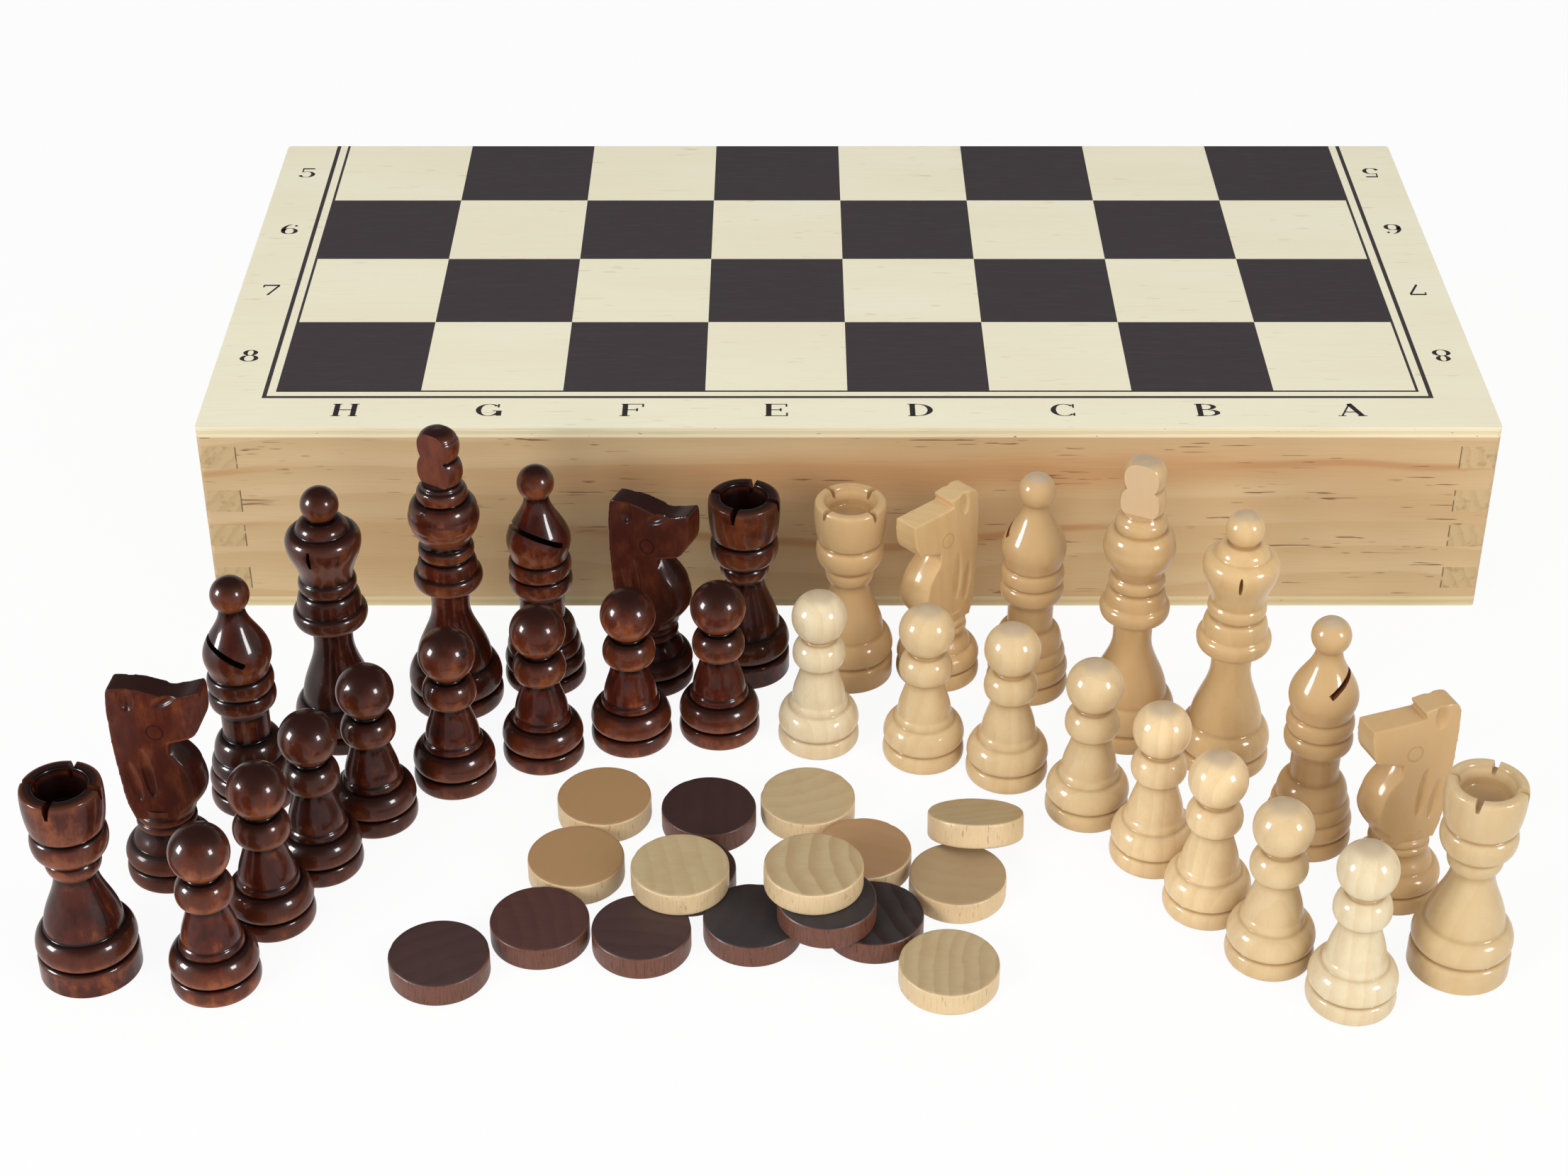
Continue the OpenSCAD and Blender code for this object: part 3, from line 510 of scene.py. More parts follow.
letterLook = {"height": 6.4, "width": 7.5, "digitHeight": 6.5, "digitWidth": 6.6, "fileGap": 10.2, "rankGap": 10.7,
              "proud": 0.012, "ink": "352f30", "inkFibre": "4e4848"}
q = boardLook["square"]
ink = inkMaterial()
size = (letterLook["width"], letterLook["height"])
digitSize = (letterLook["digitWidth"], letterLook["digitHeight"])
for half, body, ranks in (("upper", "upper_half", "5678"), ("lower", "lower_half", "4321")):
    sign = -1 if half == "upper" else 1  # the fold is at 0, and the upper half lies on the near side of it
    marks = [(letter, (i - 3.5) * q, sign * (4 * q + letterLook["fileGap"]), *size, half == "lower")
             for i, letter in enumerate("HGFEDCBA")]
    marks += [(number, side * (4 * q + letterLook["rankGap"]), sign * (i + 0.5) * q, *digitSize, side > 0)
              for i, number in enumerate(ranks) for side in (-1, 1)]
    level = boxLook["height"] + letterLook["proud"] if half == "upper" else -letterLook["proud"]
    place = lambda u, w: (u * mm, (cadFold - sign * w) * mm, level * mm)
    obj = glyphMesh(f"{half}_coordinates", marks, place)
    dress(obj, ink)
    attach(obj, body)
print("board printed")


# turning: a profile is elements from the foot up, each (kind, height, r below, r above, swell) in mm, and a ball is
# (kind, radius of its neck, its own radius)
turnSteps = 14


def elementPoints(element):
    kind, height, below, above, swell = (*element, 0.0, 0.0)[:5]
    if kind == "line":
        return [(below, 0.0), (above, height)]
    if kind == "ball":
        neck, r = element[1:]
        low = -math.acos(neck / r)
        mid = math.sqrt(r ** 2 - neck ** 2)
        angles = [low + (math.pi / 2 - low) * i / (2 * turnSteps) for i in range(2 * turnSteps + 1)]
        return [(r * math.cos(a), mid + r * math.sin(a)) for a in angles]
    points = []
    for i in range(turnSteps + 1):
        t = i / turnSteps
        ease = (1 - math.cos(math.pi * t)) / 2
        if kind == "bead":
            points.append((below + (above - below) * ease + swell * math.sin(math.pi * t), height * ease))
        elif kind == "flare":
            points.append((below + (above - below) * ease, height * t))
        else:
            quarter = math.pi / 2 * t
            points.append((above + (below - above) * math.cos(quarter), height * math.sin(quarter)))
    return points


def heightOf(element):
    if element[0] != "ball":
        return element[1]
    neck, r = element[1:]
    return r + math.sqrt(r ** 2 - neck ** 2)


def profile(elements, total=0.0):  # the element whose height is None takes up what the others leave
    spare = total - sum(heightOf(e) for e in elements if e[1] is not None)
    points, z = [], 0.0
    for e in elements:
        e = tuple(spare if v is None else v for v in e)
        points += [(r, z + h) for r, h in elementPoints(e)]
        z += heightOf(e)
    return np.array(points)


def finePoints(points, step=0.16, ease=0.27):  # even steps along the line, corners eased as lacquer eases them
    d = np.r_[0, np.cumsum(np.hypot(*np.diff(points, axis=0).T))]
    keep = np.r_[True, np.diff(d) > 1e-6]
    points, d = points[keep], d[keep]
    t = np.linspace(0, d[-1], int(d[-1] / step) + 2)
    fine = np.c_[np.interp(t, d, points[:, 0]), np.interp(t, d, points[:, 1])]

    def blur(values, width):
        n = max(1, int(3 * width / step))
        kernel = np.exp(-0.5 * (np.arange(-n, n + 1) * step / width) ** 2)
        return np.convolve(np.pad(values, n, mode="edge"), kernel / kernel.sum(), mode="valid")

    soft = np.c_[blur(fine[:, 0], ease), blur(fine[:, 1], ease)]
    soft[0], soft[-1] = fine[0], fine[-1]
    relief = np.clip((soft[:, 0] - blur(soft[:, 0], 1.5)) / 0.42, -1, 1)
    return soft, relief * np.clip((soft[:, 0] - 0.8) / 2.2, 0, 1)  # none at the very top or foot


def lathe(name, points, relief, n=112):  # a closed turned mesh, with the relief of each ring kept for its material, which lightens ridges as wear and darkens grooves
    a = np.linspace(0, 2 * math.pi, n, endpoint=False)
    verts = [(0.0, 0.0, points[0][1])]
    reliefs = [0.0]
    for (r, z), w in zip(points, relief):
        r = max(r, 0.02)
        verts += [(r * math.cos(t), r * math.sin(t), z) for t in a]
        reliefs += [w] * n
    verts.append((0.0, 0.0, points[-1][1] + 0.002))
    reliefs.append(0.0)
    faces = []
    top = 1 + (len(points) - 1) * n
    for j in range(n):
        faces.append((0, 1 + (j + 1) % n, 1 + j))
        faces.append((len(verts) - 1, top + j, top + (j + 1) % n))
    for i in range(len(points) - 1):
        for j in range(n):
            k = (j + 1) % n
            faces.append((1 + i * n + j, 1 + i * n + k, 1 + (i + 1) * n + k, 1 + (i + 1) * n + j))
    mesh = meshOf(name, [(x * mm, y * mm, z * mm) for x, y, z in verts], faces)
    mesh.attributes.new("relief", "FLOAT", "POINT").data.foreach_set("value", np.array(reliefs, np.float32))
    mesh.shade_smooth()
    return mesh


def foot(r, plinth, ring, ringIn):
    return [("bead", plinth, r - 0.6, r - 0.8, 0.7), ("line", 0.4, r - 1.4, r - 1.4),
            ("bead", ring, r - 1.2, r - ringIn, ringIn / 2 + 0.4)]


turned = {
    "pawn": foot(10.2, 4.5, 6.2, 2.6) + [
        ("bead", 2.0, 7.2, 6.8, 0.35), ("flare", None, 6.7, 4.6), ("bead", 7.3, 4.8, 4.0, 2.2),
        ("line", 0.5, 3.8, 3.6), ("ball", 3.6, 6.9)],
    "rook": [
        ("line", 5, 11.5, 11.5), ("round", 1.2, 11.5, 10.5), ("line", 0.4, 10.1, 10.1),
        ("bead", 6.4, 10.3, 9.1, 1.7), ("flare", None, 9.0, 4.9), ("bead", 4.2, 4.9, 5.8, 0.9),
        ("line", 1.2, 5.9, 6.9), ("bead", 6.6, 6.9, 7.5, 1.5), ("line", 0.4, 7.4, 7.4),
        ("bead", 11.4, 7.9, 8.7, 0.8)],
    "bishop": foot(10.5, 4.3, 4.8, 1.6) + [
        ("bead", 4.2, 8.9, 8.1, 0.9), ("round", 5.4, 8.5, 6.0), ("line", 7.5, 5.8, 5.8),
        ("line", 1.6, 5.9, 7.2), ("bead", 4.6, 7.2, 7.3, 0.9), ("line", 0.3, 7.1, 7.1), ("bead", 4.4, 7.3, 7.2, 0.8),
        ("line", 0.4, 6.9, 6.9), ("flare", 4.6, 7.3, 8.2), ("flare", None, 8.2, 3.1), ("ball", 3.0, 4.7)],
    "queen": foot(11.4, 4.4, 7, 2.4) + [
        ("flare", None, 8.9, 4.9), ("line", 4.7, 4.9, 5.0), ("line", 0.9, 5.0, 7.4), ("bead", 4.8, 7.7, 8.0, 1.35),
        ("round", 4.8, 8.0, 6.5), ("line", 0.3, 6.3, 6.3), ("bead", 3.6, 6.4, 6.4, 0.8), ("flare", 10.4, 6.5, 9.3),
        ("round", 3, 9.3, 6.8), ("round", 3.2, 6.5, 3.2), ("ball", 2.9, 4.7)],
    "king": foot(12, 4.6, 7.4, 2.5) + [
        ("flare", None, 9.6, 4.8), ("line", 5.4, 4.8, 4.9), ("line", 0.9, 4.9, 7.1), ("bead", 4.6, 7.3, 7.6, 1.25),
        ("round", 4.0, 7.6, 6.3), ("line", 0.4, 6.1, 6.1), ("bead", 3.4, 6.2, 6.2, 0.8), ("flare", 6.2, 6.1, 8.5),
        ("bead", 3.0, 8.5, 8.6, 0.35), ("round", 4.0, 8.6, 6.0), ("bead", 3.4, 5.8, 5.3, 0.8),
        ("round", 1.2, 5.2, 4.4), ("bead", 7.0, 4.3, 4.2, 1.4), ("bead", 5.6, 4.2, 4.6, 0.8),
        ("round", 1.8, 4.6, 2.0), ("line", 0.2, 2.0, 0.0)],
    "knightFoot": foot(10.75, 4.4, 5, 2.4) + [
        ("flare", 4.6, 8.35, 6.55), ("bead", 2.2, 6.35, 6.35, 0.8), ("bead", 2, 6.35, 6.15, 0.6)],
}
heights = {"pawn": 44.0, "rook": 52.0, "bishop": 64.0, "queen": 72.5, "king": 80.0, "knight": 54.0}


def turnedMan(kind, ease):
    fine, relief = finePoints(profile(turned[kind], heights[kind]), ease=ease)
    return lathe(f"{kind}Turned", fine, relief)


def applied(obj):  # the mesh with its modifiers done
    bpy.context.view_layer.update()
    done = obj.evaluated_get(bpy.context.evaluated_depsgraph_get())
    mesh = bpy.data.meshes.new_from_object(done)
    bpy.data.objects.remove(obj)
    return mesh


def cut(mesh, cutters, mode="DIFFERENCE", darkening=None):
    def spot(v):
        return tuple(round(c, 7) for c in v.co)

    turnedPoints = {spot(v) for v in mesh.vertices}
    obj = placed("work", mesh)
    for cutter in cutters:
        step = obj.modifiers.new("cut", "BOOLEAN")
        step.operation, step.object, step.solver = mode, cutter, "EXACT"
    done = applied(obj)
    for cutter in cutters:
        bpy.data.objects.remove(cutter)
    if darkening is not None:  # the faces of a saw cut get a low relief value, which darkens them
        relief = done.attributes["relief"].data
        for v in done.vertices:
            if spot(v) not in turnedPoints:
                relief[v.index].value = darkening
    return done


def blockAt(x0, x1, y0, y1, z0, z1, turn=None):  # a box in mm, turned about the origin afterwards
    corners = [(x * mm, y * mm, z * mm) for x in (x0, x1) for y in (y0, y1) for z in (z0, z1)]
    sides = [(0, 1, 3, 2), (4, 6, 7, 5), (0, 4, 5, 1), (2, 3, 7, 6), (0, 2, 6, 4), (1, 5, 7, 3)]
    mesh = meshOf("block", corners, sides)
    if turn is not None:
        mesh.transform(turn)
    return placed("block", mesh)


def prism(name, outline, halfWidth):  # an outline in x and z, in mm, made thick along y
    n = len(outline)
    area = sum(a[0] * b[1] - b[0] * a[1] for a, b in zip(outline, outline[1:] + outline[:1]))
    outline = outline if area > 0 else outline[::-1]
    verts = [(x * mm, y * mm, z * mm) for y in (-halfWidth, halfWidth) for x, z in outline]
    faces = [tuple(range(n)), tuple(range(2 * n - 1, n - 1, -1))]
    faces += [(i, i + n, (i + 1) % n + n, (i + 1) % n) for i in range(n)]
    return placed(name, meshOf(name, verts, faces))


def gougeMark(x, z, length, width, depth, lean, side, faceY):
    # a spoon-shaped cutter that bites into a cheek or the neck
    bpy.ops.mesh.primitive_uv_sphere_add(segments=32, ring_count=20)
    obj = bpy.context.object
    turn = Matrix.Translation((x * mm, side * faceY * mm, z * mm)) @ Matrix.Rotation(math.radians(lean), 4, "Y")
    obj.data.transform(turn @ Matrix.Diagonal((width / 2 * mm, depth * mm, length / 2 * mm, 1)))
    return obj


eased = {"dark": 0.24, "light": 0.46}  # how far the creases and edges of a man are rounded, in mm
# the notches of a rook are V-shaped, and their half widths are "below" and "above"
rookCut = {"dark": {"hollow": 7.5, "wall": 2.6, "deep": 3.1}, "light": {"hollow": 5.0, "wall": 2.1, "deep": 2.4},
           "below": 0.35, "above": 0.85, "rim": 0.25, "funnel": 1.4, "hollowShadeRings": 14}


def makeRook(ease, look):
    h = heights["rook"]
    points = profile(turned["rook"], h)
    # over the rim and down into the hollow
    rim, low = points[-1][0], h - look["hollow"]
    inside = rim - look["wall"]
    inner = [(rim - rookCut["rim"], h), (inside, h), (inside - rookCut["funnel"], low), (0.02, low - 0.2)]
    fine, relief = finePoints(np.vstack([points[:-1], [(rim, h - 0.2)], inner]), ease=ease)
    # painted shade in the hollow: the rings past the rim are darkened, more deeply further in
    first = int(np.argmax(fine[:, 1])) + rookCut["hollowShadeRings"]
    darkening = np.interp(np.arange(len(relief) - first), [0, rookCut["hollowShadeRings"]], [-0.1, -0.9])
    relief[first:] = np.minimum(relief[first:], darkening)
    mesh = lathe("rookTurned", fine, relief)
    w, v, d = rookCut["below"], rookCut["above"], look["deep"]
    notch = [(-w, h - d), (w, h - d), (v, h + 0.3), (-v, h + 0.3)]
    cutters = [prism("notch", notch, 15) for _ in range(2)]
    cutters[1].data.transform(Matrix.Rotation(math.radians(90), 4, "Z"))
    return cut(mesh, cutters, darkening=-0.5)


bishopCut = {"dark": {"slope": 30, "start": 0, "lift": -0.6, "width": 1.3},
             "light": {"slope": 39, "start": 1.9, "lift": 2.4, "width": 1.3}}


def makeBishop(ease, look):  # the mitre's saw cut, deep on the dark men and short on the light
    mitre = sum(e[1] for e in turned["bishop"][:-2]) + look["lift"]
    place = Matrix.Translation((look["start"] * mm, 0, mitre * mm))
    slope = Matrix.Rotation(math.radians(-look["slope"]), 4, "Y")
    kerf = blockAt(0, 20, -12, 12, look["width"], 2 * look["width"], place @ slope)
    return cut(turnedMan("bishop", ease), [kerf], darkening=-2.0)


queenSlit = {"down": 15.6, "out": 8.9, "length": 5.0, "width": 0.95, "depth": 1.5}


def makeQueen(ease):
    slit, z = queenSlit, heights["queen"] - queenSlit["down"]
    mark = gougeMark(0, z, slit["length"], slit["width"], slit["depth"], 0, -1, slit["out"])
    return cut(turnedMan("queen", ease), [mark], darkening=-1.0)  # a slit with pointed ends


kingFinial = {"height": 14.6, "half": 2.9}  # it is sawn flat on two sides


def makeKing(ease):
    h, half = heights["king"], kingFinial["half"]
    low = h - kingFinial["height"]
    blocks = [blockAt(-9, 9, half, 9, low, h + 1), blockAt(-9, 9, -9, -half, low, h + 1)]
    return cut(turnedMan("king", ease), blocks)


def spline(points, per=6):  # a smooth line through the points
    points = [Vector(p) for p in points]
    out = []
    for i in range(len(points) - 1):
        p0, p1, p2, p3 = points[max(i - 1, 0)], points[i], points[i + 1], points[min(i + 2, len(points) - 1)]
        for k in range(per):
            t = k / per
            out.append(0.5 * (2 * p1 + (p2 - p0) * t + (2 * p0 - 5 * p1 + 4 * p2 - p3) * t * t
                              + (3 * p1 - p0 - 3 * p2 + p3) * t * t * t))
    out.append(points[-1])
    return [(p.x, p.y) for p in out]


# a knight's head as sawn from the side, from the collar up the back, over the ears and down the throat
carving = {
    "back": [(-5.6, 0), (-7.2, 5), (-8, 11), (-8.8, 18)],
    "flat": {"round": [(-9.2, 24), (-9.35, 30), (-9.0, 34.4), (-8.0, 35.2), (-5, 35.4), (-1.5, 35.3), (1.5, 34.6),
                       (4.5, 34.0), (8.2, 34.2), (11.6, 35.3), (12.8, 35.3), (13.0, 32.5), (12.7, 28.0),
                       (11.6, 25.0), (9.6, 23.0), (4.3, 21.2)]},
    "stepped": {"round": [(-9.3, 25), (-9.5, 31), (-9.1, 34.2), (-7.4, 35.4), (-4.0, 35.4), (0.2, 34.9)],
                "sawn": [(-0.8, 32.7), (13.0, 32.6), (13.0, 29.8), (12.4, 26.0), (11.2, 23.5), (4.2, 21.2)]},
    "throat": [(4.6, 14), (6, 4), (5, 0)],
}


# half is half the block's thickness, at the collar and at the ears; a gouge is its x, z, length, width, depth and
# lean, and how far off the cheek its middle lies
knightLook = {"half": (5.7, 3.2), "voxel": 0.3, "bulbAt": 1.2, "tenon": 2.4,
              "bulb": [("flare", 7.2, 6.2, 9.7), ("bead", 4.2, 9.7, 9, 0.2), ("flare", 11.5, 9, 3.4)],
              "gouges": [(-1.4, 32.0, 14.5, 2.6, 1.3, -7, 0.2), (-4.8, 29.5, 12, 2.4, 1.1, -10, 0.25),
                         (-4.4, 51.4, 6.4, 3.0, 1.1, 0, 0.1)],
              "flatGouge": (4.6, 51.6, 6.6, 2.6, 1.0, 58, 0.1)}


def makeKnight(top):
    h = heights["knight"]
    footH = sum(e[1] for e in turned["knightFoot"])
    wide, narrow = knightLook["half"]
    look = carving[top]
    outline = spline(carving["back"] + look["round"]) + look.get("sawn", []) + carving["throat"]
    slab = prism("slab", [(x, z + footH) for x, z in outline], wide)
    fine, relief = finePoints(profile(knightLook["bulb"]), 0.4)
    bulb = placed("bulb", lathe("bulb", fine, relief, 64))
    bulb.data.transform(Matrix.Translation((knightLook["bulbAt"] * mm, 0, footH * mm)))
    body = cut(slab.data.copy(), [bulb], "UNION")
    bpy.data.objects.remove(slab)

    def halfAt(z):  # sawn to a slight taper, thinner at the ears
        share = (z - footH) / (h - footH)
        return wide * (1 - share) + narrow * share

    wedge = prism("wedge", [(-20, footH - 0.01), (20, footH - 0.01), (20, h + 1), (-20, h + 1)], wide)
    for v in wedge.data.vertices:
        v.co.y = math.copysign(halfAt(v.co.z / mm) * mm, v.co.y)
    body = cut(body, [wedge], "INTERSECT")
    gouges = knightLook["gouges"] + ([knightLook["flatGouge"]] if top == "flat" else [])
    body = cut(body, [gougeMark(x, z, length, width, depth, lean, side, halfAt(z) + out)
                      for x, z, length, width, depth, lean, out in gouges for side in (-1, 1)])
    obj = placed("knightBlock", body)
    remesh = obj.modifiers.new("remesh", "REMESH")
    remesh.mode, remesh.voxel_size = "VOXEL", knightLook["voxel"] * mm
    soften = obj.modifiers.new("soften", "SMOOTH")
    soften.factor, soften.iterations = 0.5, 3
    mesh = applied(obj)
    mesh.shade_smooth()
    markRelief(mesh)
    tenon = ("line", knightLook["tenon"], 6.1, 6.1)
    base = lathe("knightFoot", *finePoints(profile(turned["knightFoot"] + [tenon])))
    return joined("knight_" + top, [mesh, base])


def readOut(items, key, width, kind):
    values = np.zeros(len(items) * width, kind)
    items.foreach_get(key, values)
    return values.reshape(-1, width)


def markRelief(mesh):  # edges catch wear; hollows are darkened, stained on the dark men and painted shade on the light
    co = readOut(mesh.vertices, "co", 3, np.float32)
    normal = readOut(mesh.vertices, "normal", 3, np.float32)
    a, b = readOut(mesh.edges, "vertices", 2, np.int32).T
    count = np.bincount(a, minlength=len(co)) + np.bincount(b, minlength=len(co))

    def spread(values):
        total = np.bincount(a, values[b], len(co)) + np.bincount(b, values[a], len(co))
        return total / np.maximum(count, 1)

    mean = np.c_[spread(co[:, 0]), spread(co[:, 1]), spread(co[:, 2])]
    bend = -np.einsum("ij,ij->i", mean - co, normal) / (knightLook["voxel"] * mm)
    for _ in range(6):
        bend = (bend + spread(bend)) / 2
    relief = np.clip(bend * 4, -0.4, 1).astype(np.float32)
    mesh.attributes.new("relief", "FLOAT", "POINT").data.foreach_set("value", relief)


def joined(name, meshes):
    objects = [placed(name, mesh) for mesh in meshes]
    with bpy.context.temp_override(active_object=objects[0], selected_editable_objects=objects):
        bpy.ops.object.join()
    mesh = objects[0].data
    bpy.data.objects.remove(objects[0])
    return mesh


shapes = {}
for side, ease in eased.items():
    shapes[side] = {"pawn": turnedMan("pawn", ease), "rook": makeRook(ease, rookCut[side]),
                    "bishop": makeBishop(ease, bishopCut[side]), "queen": makeQueen(ease), "king": makeKing(ease),
                    "knight": makeKnight("flat" if side == "dark" else "stepped")}
    for kind, mesh in shapes[side].items():
        mesh.shade_smooth()
        mesh.set_sharp_from_angle(angle=math.radians(33))
        print("turned", side, kind, len(mesh.vertices))


def ownLook(looks, name):  # what a dictionary of the men or the discs says of one of them
    own = {key: named[name] for key, named in looks.items() if key != "tone" and name in named}
    own.update({"tone": tone for tone, named in looks["tone"].items() if name in named})
    return own


menLook = {  # what sets a man apart from its plain fellows; those that aren't named here are turned by their number
    "turn": {
        "dark_rook_1": -9, "dark_knight_1": -6, "dark_bishop_1": 195, "dark_queen": -15, "dark_king": -32,
        "dark_bishop_2": 225, "dark_knight_2": -24, "dark_rook_2": -17, "dark_pawn_5": 0,
        "light_rook_1": -25, "light_knight_1": 200, "light_bishop_1": -4, "light_queen": -8, "light_king": -25,
        "light_bishop_2": 107, "light_knight_2": 222, "light_rook_2": 42},
    "tone": {
        "deep": ("dark_rook_2", "dark_queen", "dark_knight_2", "dark_pawn_3", "dark_pawn_4"),
        "brown": ("dark_pawn_1", "dark_pawn_7"), "pale": ("light_pawn_1", "light_pawn_8"),
        "fair": ("light_pawn_3", "light_pawn_4"), "dull": ("light_rook_1",),
        "honey": ("light_queen", "light_knight_2"),
        "warm": ("light_king", "light_bishop_1", "light_bishop_2", "light_knight_1", "light_rook_2")},
    "gloss": {"dark_knight_1": 0.6, "dark_knight_2": 0.65, "light_knight_1": 0.8, "light_knight_2": 0.8},
    "knot": {"dark_pawn_5": (4.6, -4.0, 40.2)},
}


def setMan(node, index):
    side, kind = node.split("_")[:2]
    obj = placed(f"{node}_turned", shapes[side][kind].copy())
    obj.location = liftOf[node]["pos_m"]
    look = ownLook(menLook, node)
    obj.rotation_euler = (0, 0, math.radians(look.pop("turn", (index * 77) % 360)))
    if kind == "knight":
        look.update({"endGrainShadeCap": 0.15, "mottled": 0.9})
        look["eye"] = {"x": 1.6, "z": 42.8, "r": 1.9, "depth": 0.6 if side == "dark" else 0.3}  # a ring on each cheek
    if kind == "king":
        look["flats"] = heights["king"] - kingFinial["height"]
    dress(obj, manMaterial(f"wood_{node}", side, index * 13 + 5, **look))
    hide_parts(node)
    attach(obj, node)


men = [n for n in nodes if n.split("_")[1] in ("pawn", "rook", "knight", "bishop", "queen", "king")]
for index, node in enumerate(sorted(men)):
    setMan(node, index)
print("men set out")


# discs
def solids(obj):  # the middle and the low side of each loose solid of a CAD node, in metres
    co = np.array([v.co[:] for v in obj.data.vertices])
    key = {tuple(p): i for i, p in enumerate(map(tuple, np.round(co, 6)))}
    same = np.array([key[tuple(p)] for p in np.round(co, 6)])
    root = np.arange(len(co))

    def top(i):
        while root[i] != i:
            root[i] = root[root[i]]
            i = root[i]
        return i

    for e in obj.data.edges:
        root[top(same[e.vertices[0]])] = top(same[e.vertices[1]])
    groups = {}
    for i in range(len(co)):
        groups.setdefault(top(same[i]), []).append(i)
    boxes = [(co[g].min(0), co[g].max(0)) for g in groups.values() if len(g) > 3]
    return sorted([((l[0] + h[0]) / 2, (l[1] + h[1]) / 2, l[2]) for l, h in boxes])


discShape = {"r": 11.5, "thick": 6.0, "edge": 0.4, "lean": 22.0}
discOwn = {  # what sets a disc apart from its plain or sandy fellows
    "tone": {"orange": ("light_disc_pair_back_1",), "tan": ("light_disc_pair_left_0", "light_disc_pair_left_1"),
             "dusk": ("light_disc_prop_0",), "red": ("dark_disc_pair_1",), "wine": ("dark_disc_single_0",),
             "black": ("dark_disc_heap_2", "dark_disc_heap_3", "dark_disc_stacked_0")},
    "pitch": {"light_disc_top_0": 4.6, "light_disc_front_0": 3.6},
    "contrast": {"light_disc_top_0": 0.9, "light_disc_front_0": 0.6, "dark_disc_heap_3": 1.6},
}


def makeDisc(name, seed):
    r = random.Random(seed)
    rim, t, e = discShape["r"], discShape["thick"], discShape["edge"]
    line = [(0.02, 0), (rim - e * 1.2, 0), (rim - e * 0.35, e * 0.35), (rim, e * 1.1), (rim, t - e * 1.1),
            (rim - e * 0.35, t - e * 0.35), (rim - e * 1.2, t), (0.02, t)]
    mesh = lathe(name, *finePoints(np.array(line, float), 0.3, 0.12), 120)
    chips = [(r.uniform(0, 6.28), r.uniform(0.2, 0.6), r.uniform(0.05, 0.16)) for _ in range(5)]
    for v in mesh.vertices:  # a rod is never quite round, and its sawn edges lose small chips
        angle, radius = math.atan2(v.co.y, v.co.x), math.hypot(v.co.x, v.co.y) / mm
        if radius > rim - 1.2:
            bite = 0.03 + 0.03 * math.sin(2 * angle + seed) + sum(
                depth * math.exp(-((angle - at + math.pi) % (2 * math.pi) - math.pi) ** 2 / (2 * (wide / 6) ** 2))
                for at, wide, depth in chips) * (1 if v.co.z / mm > t - 1 else 0)
            v.co.x -= math.cos(angle) * bite * mm
            v.co.y -= math.sin(angle) * bite * mm
    return mesh


index = 0
for node in [n for n in nodes if "_disc_" in n]:
    side = node.split("_")[0]
    for i, (x, y, z) in enumerate(solids(nodes[node])):
        index += 1
        name = f"{node}_{i}"
        obj = placed(name, makeDisc(name, index))
        obj.location = (x, y, z)
        if node == "light_disc_leaning":  # the box round a tilted disc: its middle lies over the disc's middle
            lean = math.radians(discShape["lean"])
            obj.location.y -= discShape["thick"] / 2 * math.sin(lean) * mm
            obj.location.z += discShape["r"] * math.sin(lean) * mm
            obj.rotation_euler = (-lean, 0, 0)
        look = {"tone": "plain" if side == "dark" else "sand", **ownLook(discOwn, name)}
        dress(obj, discMaterial(f"slice_{name}", side, index * 7 + 1, **look))
        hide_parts(node)
        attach(obj, node)
print("discs laid")


# floor, light, camera
studio = {"world": 0.376, "walls": 0.8, "ceiling": 0.112,
          "floor": "f5f5f4", "floorGrain": "ececeb", "floorLift": 0.92, "floorHalf": 6, "floorUnder": 0.00012}
lamps = {  # share: how much of white it gives what faces it; radiance: how bright its mirror image is
    "leftSoft": {"azimuth": -42, "elevation": 26, "distance": 1.6, "size": (0.5, 0.5), "share": 0.45},
    "rightSoft": {"azimuth": 42, "elevation": 28, "distance": 1.6, "size": (1.1, 1.1), "share": 0.42},
    "topSoft": {"azimuth": 0, "elevation": 80, "distance": 1.6, "size": (1.4, 1.4), "share": 0.23},
    "leftGlint": {"azimuth": -71, "elevation": 18, "distance": 1.5, "size": (0.4, 0.48), "radiance": 64},
    "rightGlint": {"azimuth": 52, "elevation": 22, "distance": 1.5, "size": (0.34, 0.42), "radiance": 52}}


def rayKinds(s):  # whether a ray comes from the camera, a mirror image or glass
    path = s.add("ShaderNodeLightPath", out="all")
    return path[0], path[3], path[6]


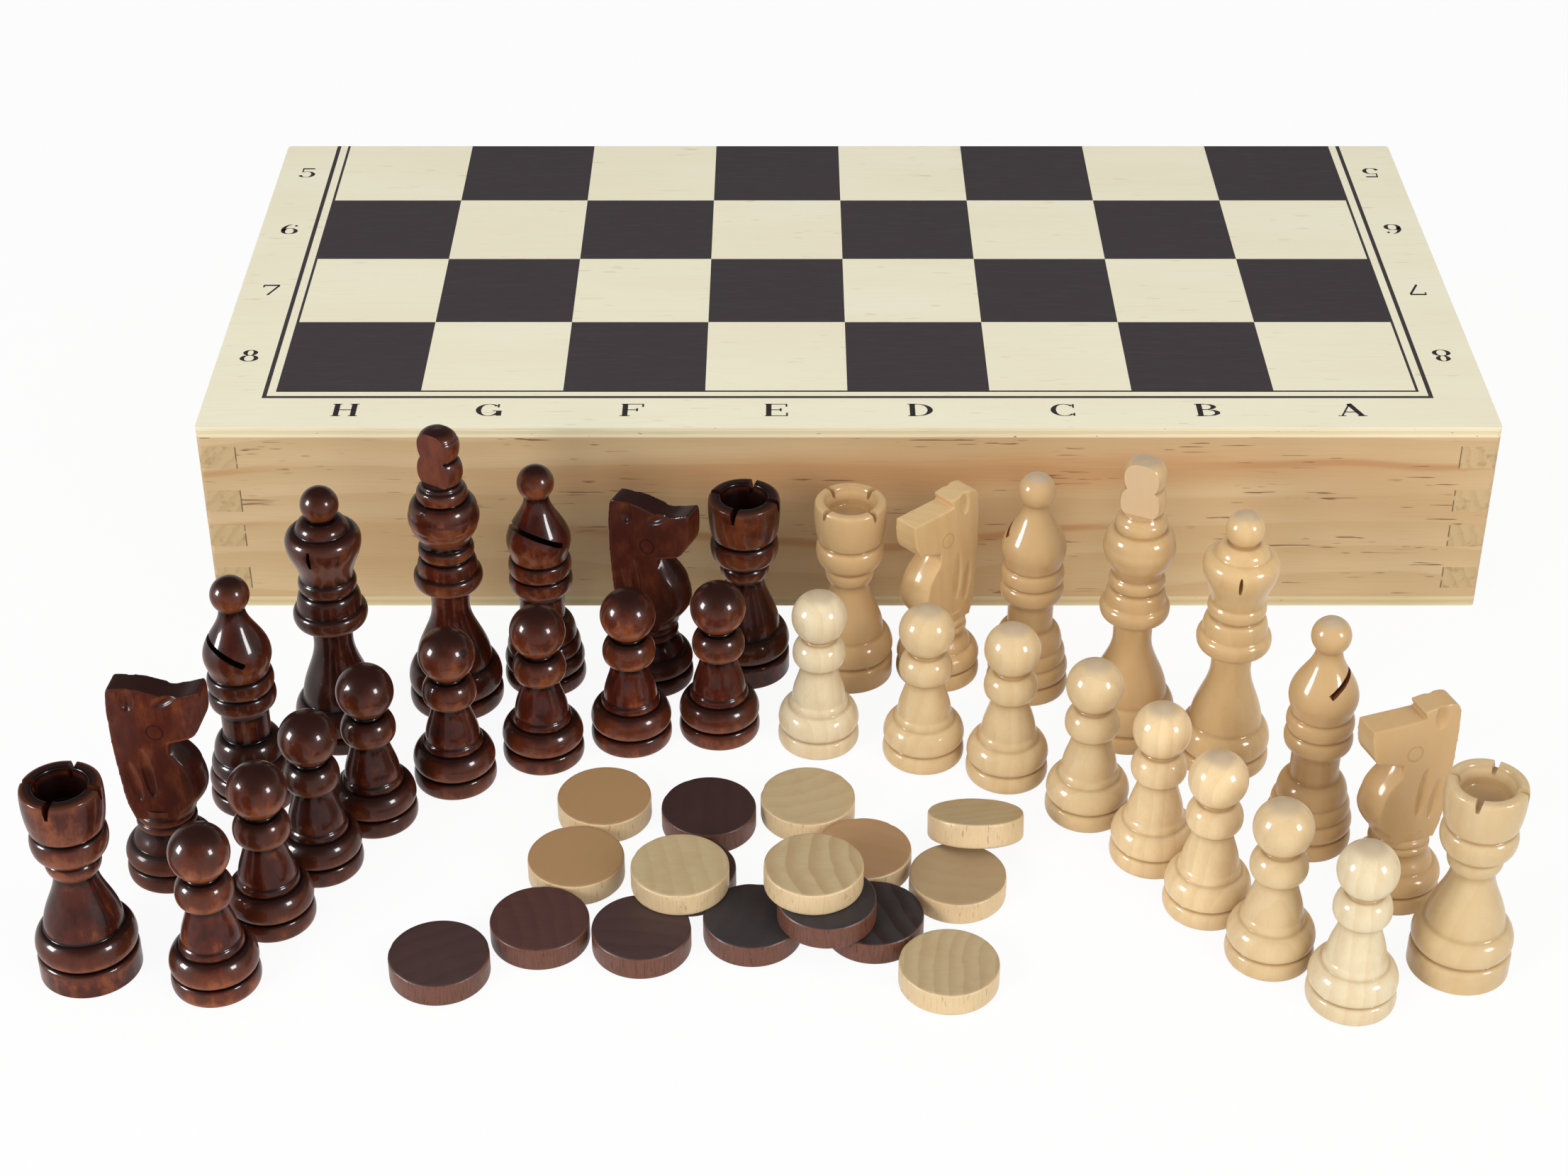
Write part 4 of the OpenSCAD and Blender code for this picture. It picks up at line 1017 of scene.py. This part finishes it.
half = studio["floorHalf"]
corners = [(x, y, -studio["floorUnder"]) for x, y in ((-half, -half), (half, -half), (half, half), (-half, half))]
floor = placed("floor", meshOf("floor", corners, [(0, 1, 2, 3)]))
s = Shader("paperFloor")
fromCamera, mirrored, throughGlass = rayKinds(s)
seen = s.calc("MINIMUM", fromCamera + mirrored + throughGlass, 1.0)
paperGrain = s.noise(s.millimetres(), 0.02, 2)
paper = s.mix(paperGrain * 0.1, studio["floor"], studio["floorGrain"])
matte = s.add("ShaderNodeBsdfDiffuse", None, {"Color": paper})
glow = s.add("ShaderNodeEmission", None, {"Color": (1, 1, 1, 1), "Strength": 1.0})
both = s.add("ShaderNodeMixShader", None, {0: seen * studio["floorLift"], 1: matte, 2: glow})
s.add("ShaderNodeOutputMaterial", None, {0: both})
dress(floor, s.owner)

scene.world = bpy.data.worlds.new("studio")
s = Shader(scene.world)
fromCamera, mirrored, throughGlass = rayKinds(s)
mirrored = s.calc("MINIMUM", mirrored + throughGlass, 1.0)
height = s.parts(s.add("ShaderNodeTexCoord"))[2]  # white walls all round, darker towards the ceiling
room = s.smooth(height, 0.12, 0.5, studio["walls"], studio["ceiling"])
level = fromCamera + mirrored * room + (1 - fromCamera - mirrored) * studio["world"]
surround = s.add("ShaderNodeBackground", None, {"Color": (1, 1, 1, 1), "Strength": level})
s.add("ShaderNodeOutputWorld", None, {0: surround})

middle = Vector((0, -0.09, 0.03))  # what the lamps point at
for name, lamp in lamps.items():
    a, e = math.radians(lamp["azimuth"]), math.radians(lamp["elevation"])
    back = Vector((math.sin(a) * math.cos(e), -math.cos(a) * math.cos(e), math.sin(e)))
    data = bpy.data.lights.new(name, "AREA")
    data.shape, data.size, data.size_y = "RECTANGLE", *lamp["size"]
    obj = placed(name, data)
    if "share" in lamp:  # the large ones light the surfaces, the small ones only shine in the lacquer
        data.energy = lamp["share"] * math.pi ** 2 * lamp["distance"] ** 2
        obj.visible_glossy = False
    else:
        data.energy = lamp["radiance"] * math.pi * data.size * data.size_y
        obj.visible_diffuse = False
    obj.location = middle + back * lamp["distance"]
    obj.rotation_euler = (-back).to_track_quat("-Z", "Y").to_euler()

view = {"place": (-16.8, -718.9, 433.3), "down": 34.0, "lens": 65.1, "sensor": 36.0}
lens = bpy.data.cameras.new("camera")
lens.lens, lens.sensor_width, lens.sensor_fit = view["lens"], view["sensor"], "HORIZONTAL"
lens.clip_start, lens.clip_end = 0.02, 20
camera = placed("camera", lens)
camera.location = [v * mm for v in view["place"]]
camera.rotation_euler = (math.radians(90 - view["down"]), 0, 0)
scene.camera = camera
scene.view_settings.view_transform = "Standard"
print("studio set")
